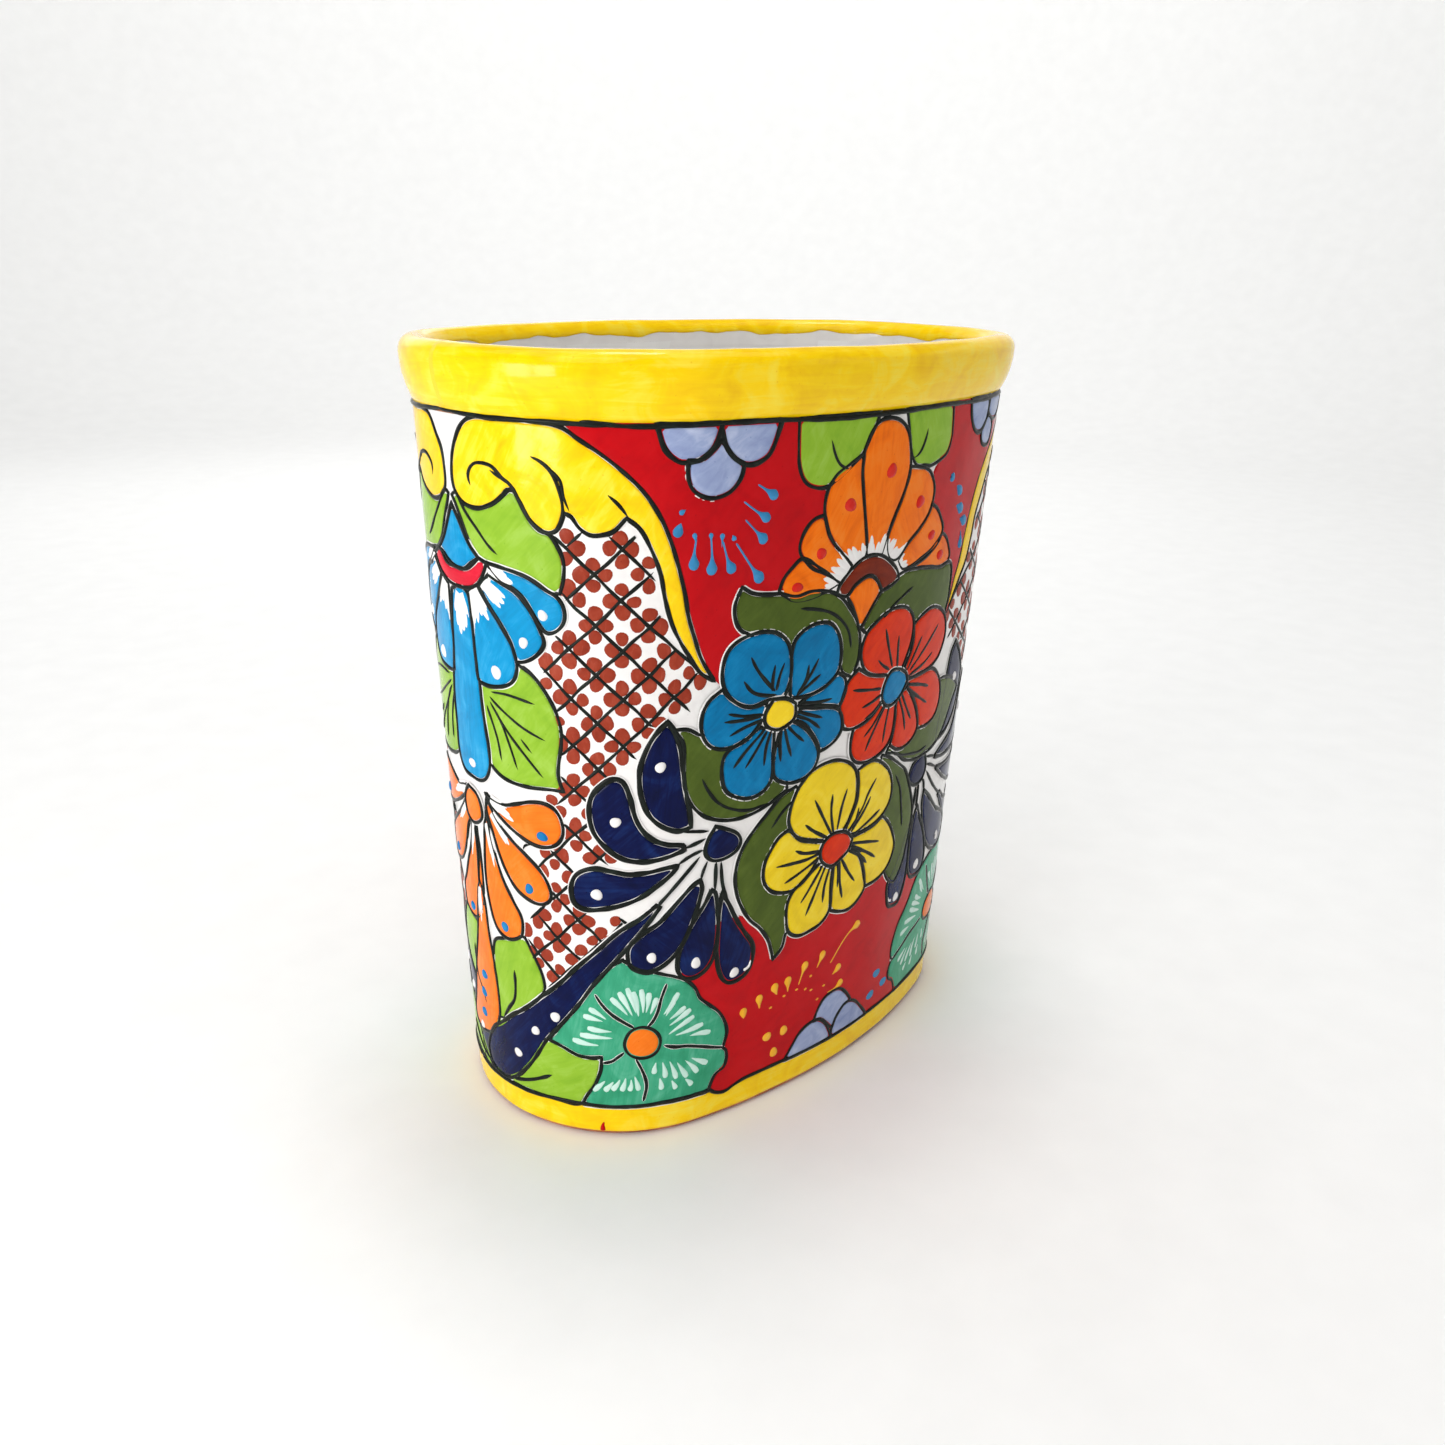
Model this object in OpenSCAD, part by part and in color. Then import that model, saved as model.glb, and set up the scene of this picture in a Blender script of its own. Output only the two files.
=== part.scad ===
// Oval talavera vase: a tapering clay wall luted onto an oval floor slab, with a rolled rim on top,
// a white glaze lining and ground, yellow glaze on the rim and the foot, and a raised black line beside each.
// Z is up. The origin is the centre of the underside. X runs along the long side of the oval.

/* [Oval] */
// Length of the wall's outer face at the height of the mouth, without the rim
mouth_length = 298; // [260:2:400]
// Width of the wall's outer face at the height of the mouth, without the rim
mouth_width = 190; // [160:2:220]
// How far the long sides bow out beyond the round ends
side_bow = 9; // [4:1:12]

/* [Height and walls] */
// Overall height
height = 340; // [200:5:480]
// How far the outer face leans in from the mouth to the base, on every side
taper = 14.5; // [0:0.5:24]
// Thickness of the wall, with its glaze
wall = 7; // [5:0.5:9]
// Thickness of the floor slab, with its glaze
floor_slab = 9.5; // [7:0.5:14]
// Radius of the cove where the wall meets the floor inside
cove = 9; // [4:0.5:12]
// Radius of the bottom edge of the foot
foot_edge = 3; // [1.5:0.5:5]

/* [Rim] */
// Height of the rolled rim
rim_height = 24.5; // [22:0.5:40]
// How far the rim stands out from the wall just below it
rim_out = 5; // [4:0.5:9]
// How far the yellow glaze runs down the inside of the rim
rim_glaze_inside = 10; // [10:1:16]

/* [Glaze] */
// Thickness of each glaze coat
glaze = 0.6; // [0.4:0.1:1]
// Height of the yellow band at the foot
foot_band = 15.5; // [10:0.5:30]
// Height of the bare clay below the yellow band
bare_foot = 3; // [2:0.5:5]
// Width of the black lines under the rim and above the foot band
line_width = 2; // [1:0.25:4]
// How far the black lines stand proud of the glaze beside them
line_proud = 0.4; // [0.2:0.1:0.8]

/* [Hidden] */
$fn = 96;

// The oval has four centres: a small arc round each end and a large arc along each side.
// Its parallel curves keep the same centres, so the lean and every coat are plain offsets.
// The side centres lie on a whole hundredth, so that neighbouring rings are cut by exactly the same plane.
end_radius = mouth_width / 2 - side_bow;
end_centre = mouth_length / 2 - end_radius;
side_centre = round(50 * (end_centre * end_centre - side_bow * side_bow) / side_bow) / 100;
side_radius = end_radius + norm([end_centre, side_centre]);
end_angle = atan2(side_centre, end_centre);

rim_foot = height - rim_height;
rim_front = face(rim_foot) + rim_out;
mouth_in = face(rim_foot) - wall;
rim_roll = (rim_front - mouth_in) / 2;
roll_height = height - rim_roll;
// The rim's belly is one arc, from the widest point of the roll down to the wall's face.
belly_drop = roll_height - rim_foot;
belly_radius = (belly_drop * belly_drop + rim_out * rim_out) / (2 * rim_out);
belly_turn = asin(belly_drop / belly_radius);
roll_steps = 16;
belly_steps = 6;

ground_low = foot_band + line_width;
ground_high = rim_foot - line_width;

lining_top = height - rim_glaze_inside;
clay_floor_top = floor_slab - glaze;
cove_height = clay_floor_top + cove;
cove_centre = face(cove_height) - wall + glaze - cove;
cove_steps = 8;
edge_steps = 4;
// The floor's edge is swept round the oval, and laps under the rim of its flat core.
core_lap = 4;
floor_core = cove_centre - core_lap;
cut_margin = 10;

// Distance of the wall's outer glazed face from the mouth outline, at height z: zero at the mouth, negative below
function face(z) = -taper * (1 - z / height);

// Sweeps a profile round the oval: x is the distance out from the mouth outline, and y is the height.
// Each ring is cut along the two lines from its own centre through the centres of its neighbours.
module round_the_oval() {
    for (end = [-1, 1])
        intersection() {
            translate([end * end_centre, 0, 0]) rotate_extrude() translate([end_radius, 0]) children();
            translate([0, 0, -cut_margin])
                linear_extrude(height + 2 * cut_margin)
                    polygon([
                        [end * end_centre, 0], [end * 4 * end_centre, -3 * side_centre],
                        [end * 4 * end_centre, 3 * side_centre]
                    ]);
        }
    for (side = [-1, 1])
        intersection() {
            translate([0, side * side_centre, 0]) rotate_extrude() translate([side_radius, 0]) children();
            translate([0, 0, -cut_margin])
                linear_extrude(height + 2 * cut_margin)
                    polygon([
                        [0, side * side_centre], [-4 * end_centre, -side * 3 * side_centre],
                        [4 * end_centre, -side * 3 * side_centre]
                    ]);
        }
}

// The flat oval at a distance out from the mouth outline
module flat_oval(out) {
    joint_x = end_centre + (end_radius + out) * cos(end_angle);
    for (end = [-1, 1])
        translate([end * end_centre, 0]) circle(r = end_radius + out, $fn = 180);
    intersection() {
        translate([0, -side_centre]) circle(r = side_radius + out, $fn = 240);
        translate([0, side_centre]) circle(r = side_radius + out, $fn = 240);
        square([2 * joint_x, mouth_width], center = true);
    }
}

// A strip that follows the wall's face between two heights, from one distance behind it to another
module strip(low, high, back, front) {
    polygon([
        [face(low) + back, low], [face(low) + front, low],
        [face(high) + front, high], [face(high) + back, high]
    ]);
}

// Points along an arc about a centre, between two angles
function arc(centre, radius, from, to, steps) = [
    for (step = [0 : steps])
        let (turn = from + (to - from) * step / steps)
        centre + radius * [cos(turn), sin(turn)]
];

// The cove between wall and floor, from the wall down: a glaze coat takes its thickness off the radius
function cove_arc(radius) = arc([cove_centre, cove_height], radius, 0, -90, cove_steps);

// The rim's outline over the top and down the belly to its outer foot, shrunk by inset
function rim_arc(inset) = concat(
    arc([(rim_front + mouth_in) / 2, roll_height], rim_roll - inset, 180, 0, roll_steps),
    arc([rim_front - belly_radius, roll_height], belly_radius - inset,
        -belly_turn / belly_steps, -belly_turn * (1 - 1 / belly_steps), belly_steps - 2),
    [[face(rim_foot) - inset, rim_foot]]
);

function reversed(points) = [for (last = [len(points) - 1 : -1 : 0]) points[last]];

module clay_wall() {
    color("peru") round_the_oval() polygon(concat(
        [
            [face(clay_floor_top) - glaze, clay_floor_top], [face(rim_foot) - glaze, rim_foot],
            [mouth_in + glaze, rim_foot]
        ],
        cove_arc(cove)
    ));
}

module clay_floor() {
    edge = face(0) - glaze;
    color("sienna") {
        linear_extrude(clay_floor_top) flat_oval(floor_core);
        round_the_oval() polygon(concat(
            [[floor_core - core_lap, clay_floor_top], [floor_core - core_lap, 0]],
            arc([edge - foot_edge, foot_edge], foot_edge, -90, 0, edge_steps),
            [[face(clay_floor_top) - glaze, clay_floor_top]]
        ));
    }
}

module rim_coil() {
    color("chocolate") round_the_oval() polygon(concat([[mouth_in + glaze, rim_foot]], rim_arc(glaze)));
}

module white_lining() {
    color("whitesmoke") {
        translate([0, 0, clay_floor_top]) linear_extrude(glaze) flat_oval(floor_core);
        round_the_oval() polygon(concat(
            [[mouth_in, lining_top], [mouth_in + glaze, lining_top], [mouth_in + glaze, rim_foot]],
            cove_arc(cove),
            [[floor_core - core_lap, clay_floor_top], [floor_core - core_lap, floor_slab]],
            reversed(cove_arc(cove - glaze)),
            [[mouth_in, rim_foot]]
        ));
    }
}

module white_ground() {
    color("white") round_the_oval() strip(ground_low, ground_high, -glaze, 0);
}

module rim_glaze() {
    color("gold") round_the_oval() polygon(concat(
        [[mouth_in, lining_top]], rim_arc(0), reversed(rim_arc(glaze)), [[mouth_in + glaze, lining_top]]
    ));
}

module foot_glaze() {
    color("gold") round_the_oval() strip(bare_foot, foot_band, -glaze, 0);
}

// A raised black line round the oval, with its lower edge at a given height
module black_line(low) {
    color("black") round_the_oval() strip(low, low + line_width, -glaze, line_proud);
}

clay_wall();
clay_floor();
rim_coil();
white_lining();
white_ground();
rim_glaze();
foot_glaze();
black_line(ground_high);  // upper_line
black_line(foot_band);  // lower_line
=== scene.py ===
import math
import random
import bpy
import numpy as np
from mathutils import Matrix, Vector
from mathutils.geometry import delaunay_2d_cdt


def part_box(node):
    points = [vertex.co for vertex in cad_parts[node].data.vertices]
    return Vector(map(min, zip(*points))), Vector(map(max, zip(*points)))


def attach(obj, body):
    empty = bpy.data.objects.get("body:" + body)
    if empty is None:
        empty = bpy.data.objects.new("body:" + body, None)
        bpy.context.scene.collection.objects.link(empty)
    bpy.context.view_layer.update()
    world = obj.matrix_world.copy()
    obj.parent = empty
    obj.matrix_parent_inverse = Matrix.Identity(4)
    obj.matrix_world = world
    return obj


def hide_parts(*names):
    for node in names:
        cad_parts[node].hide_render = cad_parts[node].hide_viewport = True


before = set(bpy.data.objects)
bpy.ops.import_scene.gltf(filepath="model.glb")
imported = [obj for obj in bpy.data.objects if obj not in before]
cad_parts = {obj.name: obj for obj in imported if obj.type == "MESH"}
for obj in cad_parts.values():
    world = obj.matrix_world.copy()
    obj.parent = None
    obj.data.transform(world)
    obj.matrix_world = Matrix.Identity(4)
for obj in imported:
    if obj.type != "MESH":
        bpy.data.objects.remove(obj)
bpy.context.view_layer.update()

mm = 0.001
draws = random.Random(41)      # every hand-made wobble below comes from this one seed
print("frame loaded")

# The oval of the mouth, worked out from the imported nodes: four arcs, and the lean of the wall.
# Everything painted is placed by u, millimetres round the mouth from the -X end, and z, height.
vase = dict(
    sideBow=9,                 # how far the long sides bow out beyond the round ends
    wall=7,
    rimOut=5,                  # how far the rolled rim stands out
    unevenness=0.42,           # hand-pressed wall: how far it swells and dips
    # each swell's share, waves round the oval, start, and mm of height per radian that it drifts
    swells=((0.45, 3, 1.1, 71), (0.35, 7, 2.3, -47), (0.2, 13, 0.4, 29), (0.14, 24, 0, -17)),
)


def boxTop(node):
    return [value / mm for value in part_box(node)[1]]


groundTop = boxTop("white_ground")
footTop = boxTop("foot_glaze")
lineTop = boxTop("upper_line")[2]
height = boxTop("rim_glaze")[2]
lean = (groundTop[0] - footTop[0]) / (groundTop[2] - footTop[2])
halfLength = groundTop[0] + lean * (height - groundTop[2])
halfWidth = groundTop[1] + lean * (height - groundTop[2])
endRadius = halfWidth - vase["sideBow"]
endCentre = halfLength - endRadius
sideCentre = (endCentre ** 2 - vase["sideBow"] ** 2) / (2 * vase["sideBow"])
sideRadius = endRadius + math.hypot(endCentre, sideCentre)
endAngle = math.atan2(sideCentre, endCentre)
endArc = endRadius * endAngle
quarter = endArc + sideRadius * (math.pi / 2 - endAngle)
panelLength = 2 * quarter      # one painted panel, half the way round


def ringPoints(u, out, z):
    # u round the mouth outline, out from it, both in mm, to metres in the frame
    u, out, z = np.broadcast_arrays(np.asarray(u, float), out, z)
    quad = np.floor(u / quarter) % 4
    along = u - np.floor(u / quarter) * quarter
    along = np.where(quad % 2 == 1, quarter - along, along)
    onEnd = along < endArc
    angle = np.where(onEnd, along / endRadius, endAngle + (along - endArc) / sideRadius)
    radius = np.where(onEnd, endRadius, sideRadius) + out
    x = np.where(onEnd, endCentre, 0) + radius * np.cos(angle)
    y = np.where(onEnd, 0, -sideCentre) + radius * np.sin(angle)
    x = np.where((quad == 0) | (quad == 3), -x, x)
    y = np.where(quad < 2, -y, y)
    return np.stack([x, y, z], -1) * mm


def waves(u, rows, z=0):
    # slow waves round the oval
    turn = np.asarray(u) * math.pi / panelLength
    return sum(share * np.sin(count * turn + start + z / drift) for share, count, start, drift in rows)


def swell(u, z):
    return vase["unevenness"] * waves(u, vase["swells"], np.asarray(z))


def wallOut(z):
    return -lean * (height - z)


def wallPoints(u, z, lift):
    z = np.asarray(z, float)
    return ringPoints(u, wallOut(z) + lift + swell(u, z), z)


# Paint is gathered here piece by piece, then made into meshes at the end.
gathered = {}


def gather(name, glaze, points, faces, across, along, gap):
    made = gathered.setdefault(name, dict(glaze=glaze, points=[], faces=[], maps=[], gaps=[], count=0))
    made["points"].append(points)
    made["faces"].append(np.asarray(faces, int) + made["count"])
    made["maps"].append(np.stack([across, along], -1))
    made["gaps"].append(gap)
    made["count"] += len(points)


def smoothPath(points, closed=False, step=1.2, corner=58):
    # a curve through given points, sharp where it turns more than corner degrees
    points = np.asarray(points, float)
    count = len(points)
    ahead, behind = np.roll(points, -1, 0), np.roll(points, 1, 0)
    turnIn, turnOut = points - behind, ahead - points
    cross = turnIn[:, 0] * turnOut[:, 1] - turnIn[:, 1] * turnOut[:, 0]
    turn = np.degrees(np.abs(np.arctan2(cross, (turnIn * turnOut).sum(1))))
    sharp = turn > corner
    if not closed:
        sharp[0] = sharp[-1] = True
    tangent = ahead - behind
    tangent /= np.maximum(np.linalg.norm(tangent, axis=1), 1e-6)[:, None]
    path = []
    for i in range(count if closed else count - 1):
        j = (i + 1) % count
        chord = points[j] - points[i]
        length = max(np.linalg.norm(chord), 1e-6)
        leave = chord if sharp[i] else tangent[i] * length
        arrive = chord if sharp[j] else tangent[j] * length
        t = np.linspace(0, 1, max(2, round(length / step)) + 1)[:-1, None]
        path.append((2 * t**3 - 3 * t**2 + 1) * points[i] + (t**3 - 2 * t**2 + t) * leave
                    + (3 * t**2 - 2 * t**3) * points[j] + (t**3 - t**2) * arrive)
    if not closed:
        path.append(points[-1:])
    return np.concatenate(path)


def anticlockwise(loop):
    ahead = np.roll(loop, -1, 0)
    area = (loop[:, 0] * ahead[:, 1] - loop[:, 1] * ahead[:, 0]).sum()
    return loop if area > 0 else loop[::-1]


def distanceTo(loop, points, closed=True):
    start = loop if closed else loop[:-1]
    run = (np.roll(loop, -1, 0) if closed else loop[1:]) - start
    square = np.maximum((run ** 2).sum(1), 1e-9)
    away = points[:, None] - start[None]
    along = np.clip((away * run).sum(-1) / square, 0, 1)
    return np.linalg.norm(away - along[..., None] * run, axis=-1).min(1)


def isInside(loop, points):
    ahead = np.roll(loop, -1, 0)
    x, y = points[:, 0:1], points[:, 1:2]
    crossing = (loop[:, 1] > y) != (ahead[:, 1] > y)
    rise = np.where(ahead[:, 1] == loop[:, 1], 1e-9, ahead[:, 1] - loop[:, 1])
    reach = loop[:, 0] + (ahead[:, 0] - loop[:, 0]) * (y - loop[:, 1]) / rise
    return (crossing & (x < reach)).sum(1) % 2 == 1


def insetLoop(loop, inset):
    # a parallel loop, inwards for a positive inset, without the parts that would cross
    tangent = np.roll(loop, -1, 0) - np.roll(loop, 1, 0)
    tangent /= np.maximum(np.linalg.norm(tangent, axis=1), 1e-9)[:, None]
    moved = loop + np.stack([-tangent[:, 1], tangent[:, 0]], -1) * inset
    keep = distanceTo(loop, moved) > abs(inset) * 0.97
    return moved[keep]


def fillLoop(name, glaze, loop, base, thick, edge, grid=4.0, slant=None):
    # a thin raised slab of glaze with a rounded edge, following the wall
    if len(loop) < 5:
        return
    loop = anticlockwise(loop)
    rings = [insetLoop(loop, edge * part) for part in (0.3, 0.8)] if edge > 0.2 else []
    low, high = loop.min(0), loop.max(0)
    across, up = np.meshgrid(np.arange(low[0], high[0], grid), np.arange(low[1], high[1], grid * 0.87))
    across = across + (np.arange(len(up)) % 2)[:, None] * grid / 2
    inner = np.stack([across.ravel(), up.ravel()], -1)
    if len(inner):
        inner = inner[isInside(loop, inner)]
    if len(inner):
        inner = inner[distanceTo(loop, inner) > max(edge, grid * 0.35)]
    rings = [ring[isInside(loop, ring)] for ring in rings if len(ring)]
    points = np.concatenate([loop, *rings, inner])
    edges = [(i, (i + 1) % len(loop)) for i in range(len(loop))]
    flat, _, faces, _, _, _ = delaunay_2d_cdt([Vector(p) for p in points], edges, [], 1, 1e-4)
    if not faces:
        return
    flat = np.array([tuple(p) for p in flat])
    gap = distanceTo(loop, flat)
    rounding = np.sqrt(np.maximum(0, 1 - (1 - np.minimum(gap / max(edge, 1e-3), 1)) ** 2))
    lift = base + thick * rounding - np.where(gap < 1e-3, paint["tuck"], 0)
    turn = math.atan2(*np.ptp(loop, axis=0)) if slant is None else slant
    shift = draws.uniform(0, paint["apart"])
    brushAcross = flat[:, 0] * math.cos(turn) - flat[:, 1] * math.sin(turn) + shift
    brushAlong = flat[:, 0] * math.sin(turn) + flat[:, 1] * math.cos(turn) + shift
    gather(name, glaze, wallPoints(flat[:, 0], flat[:, 1], lift), faces, brushAcross, brushAlong, gap)


def ribbon(name, glaze, path, halves, base, rise):
    # a brushed or trailed line of varying half width, with a rounded section
    tangent = np.gradient(path, axis=0)
    tangent /= np.maximum(np.linalg.norm(tangent, axis=1), 1e-9)[:, None]
    side = np.stack([-tangent[:, 1], tangent[:, 0]], -1)
    section = np.array([-1, -0.68, 0, 0.68, 1])
    domed = np.array([0, 0.74, 1, 0.74, 0])
    spots = path[:, None] + side[:, None] * (section * halves[:, None])[..., None]
    full = np.minimum(1, halves / max(np.max(halves) * 0.6, 1e-6))
    lifts = base + rise * domed * full[:, None] - np.where(domed == 0, paint["tuck"], 0)
    walked = np.concatenate([[0], np.cumsum(np.linalg.norm(np.diff(path, axis=0), axis=1))])
    rows, columns = spots.shape[:2]
    faces = []
    for row in range(rows - 1):
        for column in range(columns - 1):
            a = row * columns + column
            b = a + columns
            faces += [(a, b, b + 1), (a, b + 1, a + 1)]
    shift = draws.uniform(0, paint["apart"])
    across = (section * halves[:, None]).ravel() + shift
    along = np.repeat(walked, columns) + shift
    gap = ((1 - np.abs(section)) * halves[:, None]).ravel()
    flat = spots.reshape(-1, 2)
    gather(name, glaze, wallPoints(flat[:, 0], flat[:, 1], lifts.ravel()), faces, across, along, gap)


# What the painter holds at the moment: which motif, where it is mapped to, and how high it lies.
brush = dict(panel="front", motif="", side="right", shift=0.0, place=None, layer=0.0, shake=0.0)
paint = dict(
    lineWidth=2.0,             # black outline, mm
    halo=0.42,                 # bare white ground left beside each outline
    slab=0.08,                 # white slip under a coloured shape
    colour=0.36,               # thickness of coloured glaze
    over=0.38,                 # where marks over a coloured shape start
    inkRise=0.6,               # raised black line
    layerStep=0.3,
    tuck=0.18,                 # every edge dips this far into the coat below
    shake=0.35,                # how far the hand strays on every repeat of a motif
    apart=400,                 # brush marks are drawn from anywhere in this many mm
)


def pieceName(glaze):
    return brush["panel"] + "_" + brush["motif"] + "_" + glaze


def pairs(text):
    return [tuple(float(value) for value in pair.split()) for pair in text.split(",")]


def trace(text):
    shake = brush["shake"]
    return [brush["place"](u + draws.gauss(0, shake), z + draws.gauss(0, shake)) for u, z in pairs(text)]


def wavering(path, amount):
    # slow sideways drift and change of pressure, as the hand moves
    walked = np.concatenate([[0], np.cumsum(np.linalg.norm(np.diff(path, axis=0), axis=1))])
    phases = [draws.uniform(0, 6.28) for _ in range(3)]
    return amount * (0.5 * np.sin(walked / 2.9 + phases[0]) + 0.35 * np.sin(walked / 6.3 + phases[1])
                     + 0.3 * np.sin(walked / 1.5 + phases[2]))


def line(points, width=None, ends=(0.35, 0.25), rise=None, base=None, halo=False):
    # a black line, pressed lighter at its ends
    if isinstance(points, str):
        points = trace(points)
    path = smoothPath(points)
    if len(path) < 3:
        path = smoothPath(points, step=0.4)
    halves = (width or paint["lineWidth"]) / 2 * (1 + wavering(path, 0.2))
    reach = min(0.45, 5.0 / (len(path) * 1.2))
    halves *= np.interp(np.linspace(0, 1, len(path)), [0, reach, 1 - reach, 1], [ends[0], 1, 1, ends[1]])
    halves[0] = halves[-1] = 0.04
    halves[1:2] *= 0.75
    halves[-2:-1] *= 0.7
    level = brush["layer"] if base is None else base
    rise = rise or paint["inkRise"]
    if halo:
        ribbon(pieceName("white"), "white", path, halves + paint["halo"] + 0.1, level, 0.42)
        rise += 0.1
    ribbon(pieceName("black"), "black", path, halves, level, rise)


def touch(points, widths, glaze, rise, base=None):
    # one touch of the brush or the slip trailer: half widths at even steps along it
    if isinstance(points, str):
        points = trace(points)
    path = smoothPath(points, False, 0.55)
    fraction = np.linspace(0, 1, len(path))
    halves = np.interp(fraction, np.linspace(0, 1, len(widths)), widths) * (1 + wavering(path, 0.06))
    halves[0] = halves[-1] = 0.03
    ribbon(pieceName(glaze), glaze, path, halves, brush["layer"] if base is None else base, rise)


bead = dict(rise=0.8, tail=0.2, neck=0.95, tip=1.2)      # tail and neck by the bead's radius, tip in mm


def drip(points, radius, glaze):
    # slip trailed off the tip: a round bead that draws out to a thin tail
    path = smoothPath(trace(points), False, 0.45)
    walked = np.concatenate([[0], np.cumsum(np.linalg.norm(np.diff(path, axis=0), axis=1))])
    ball = np.sqrt(np.maximum(0, radius ** 2 - (radius - walked) ** 2))
    past = np.maximum(walked - radius, 0) / (bead["neck"] * radius)
    tail = radius * (bead["tail"] + (1 - bead["tail"]) * np.exp(-past ** 1.5))
    halves = np.where(walked < radius, ball, tail) * np.interp(walked[-1] - walked, [0, bead["tip"]], [0.2, 1])
    halves = np.maximum(halves, 0.05) * (1 + wavering(path, 0.05))
    ribbon(pieceName(glaze), glaze, path, halves, brush["layer"], bead["rise"])


def dot(centre, size, glaze="white", rise=0.75):
    # a raised dot, a little uneven, size is its width and height
    u, z = trace(centre)[0]
    wide, tall = (size, size) if isinstance(size, (int, float)) else size
    sides = 14
    turns = np.arange(sides) * 2 * math.pi / sides
    bumps = 1 + 0.07 * np.sin(2 * turns + draws.uniform(0, 6)) + 0.05 * np.sin(3 * turns + draws.uniform(0, 6))
    rings = [(1, -paint["tuck"]), (0.86, 0.5 * rise), (0.58, 0.86 * rise), (0.25, rise)]
    spots, lifts, gaps = [], [], []
    for part, lift in rings:
        x, y = np.cos(turns) * wide / 2 * part * bumps, np.sin(turns) * tall / 2 * part * bumps
        spots.append(np.stack([u + x, z + y], -1))
        lifts += [lift] * sides
        gaps += [(1 - part) * wide / 2] * sides
    spots = np.concatenate(spots + [np.array([[u, z]])])
    lifts = np.array(lifts + [rise]) + brush["layer"]
    gaps = np.array(gaps + [wide / 2])
    faces = []
    for ring in range(len(rings) - 1):
        for i in range(sides):
            a, b = ring * sides + i, ring * sides + (i + 1) % sides
            faces += [(a, b, b + sides), (a, b + sides, a + sides)]
    last = (len(rings) - 1) * sides
    faces += [(last + i, last + (i + 1) % sides, len(spots) - 1) for i in range(sides)]
    u, z = spots.T
    gather(pieceName(glaze), glaze, wallPoints(u, z, lifts), faces, u, z, gaps)


def shape(glaze, points, outlined=True, slant=None, width=None):
    # a closed painted shape: white slip under it, colour inside it, and its black outline
    loop = anticlockwise(smoothPath(trace(points), True))
    width = width or paint["lineWidth"]
    level = brush["layer"]
    inner = loop
    if outlined:
        wide = insetLoop(loop, -(width / 2 + paint["halo"]))
        fillLoop(pieceName("white"), "white", wide, level, paint["slab"], edge=0.3, grid=5.0)
        inner = insetLoop(loop, width / 2 - 0.2)
    fillLoop(pieceName(glaze), glaze, inner, level + paint["slab"], paint["colour"], edge=1.4, slant=slant)
    if outlined:
        outline = np.concatenate([loop, loop[:3]])
        halves = width / 2 * (1 + wavering(outline, 0.23))
        ribbon(pieceName("black"), "black", outline, halves, level, paint["inkRise"])


def pick(motif, layer):
    brush["motif"] = motif
    brush["layer"] = layer * paint["layerStep"]


# The tie motif at each end: scroll, leaves, sky-blue fan, orange feathers, lattice and navy feathers.
tie = dict(axis=-4.0, spread=18.0, spreadFrom=40.0, spreadTo=105.0)


def asDrawn(u, z):
    return u + brush["shift"], z


def mirrored(u, z):
    # the left half, which spreads more the further it is from the axis
    t = min(1, max(0, (u - tie["spreadFrom"]) / (tie["spreadTo"] - tie["spreadFrom"])))
    return 2 * tie["axis"] - u - tie["spread"] * t * t * (3 - 2 * t) + brush["shift"], z


def paintScroll():
    pick("scroll", 0)
    shape("yellow", "22 314.6, 14 314.5, 8 312, 3 306, 0 300, -1.5 293, -1 287, 2 283, 6 281, 12 280.5, 18 282,"
          "24 285, 28 289, 31 289, 37 279, 42 275, 46 274.5, 49 276.5, 51.5 282, 54 281, 57 277, 61 274.5,"
          "65 274.5, 70 276, 75 281, 80 277, 84 270, 88 260, 90 250, 93 240, 97 232, 101 226, 106 219,"
          "112.5 215, 106 225, 103 233, 100 242, 98 252, 95 263, 92 272, 88 281, 82 290, 75 297, 66 304,"
          "58 309, 50 313.5, 36 314.8",
          slant=0.6)
    brush["layer"] += 0.2
    line("10 288, 9 293, 12 297, 17 298, 22 297, 26 293.5, 30 291, 34 285")
    line("47.5 276, 50 279, 51 283, 50 290, 47 297, 43 300.5, 38 302.5")
    line("20 296, 24 294, 27 292", 1.5)
    line("43 300, 50 294.5, 51.5 288, 54 282", 1.7)
    line("67.5 290, 72 286, 76 281", 1.9)


def paintTopLeaf():
    pick("scrollLeaf", 0)
    shape("lime", "-3 284, -1 281, 2 275, 6 267, 11 261.5, 16 260, 24 259, 32 257.5, 40 254.5, 45 251.5,"
          "48.5 251.5, 50 256, 50.5 264, 48 270, 45 274, 41 275, 37 279, 34 285, 30 290, 26 287, 20 283,"
          "12 280.6, 5 281.5, 0 285.5", slant=0.8)
    line("0 286, 5 279, 12 272, 17 267, 22 263.5", 1.5, base=0.3)


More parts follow.
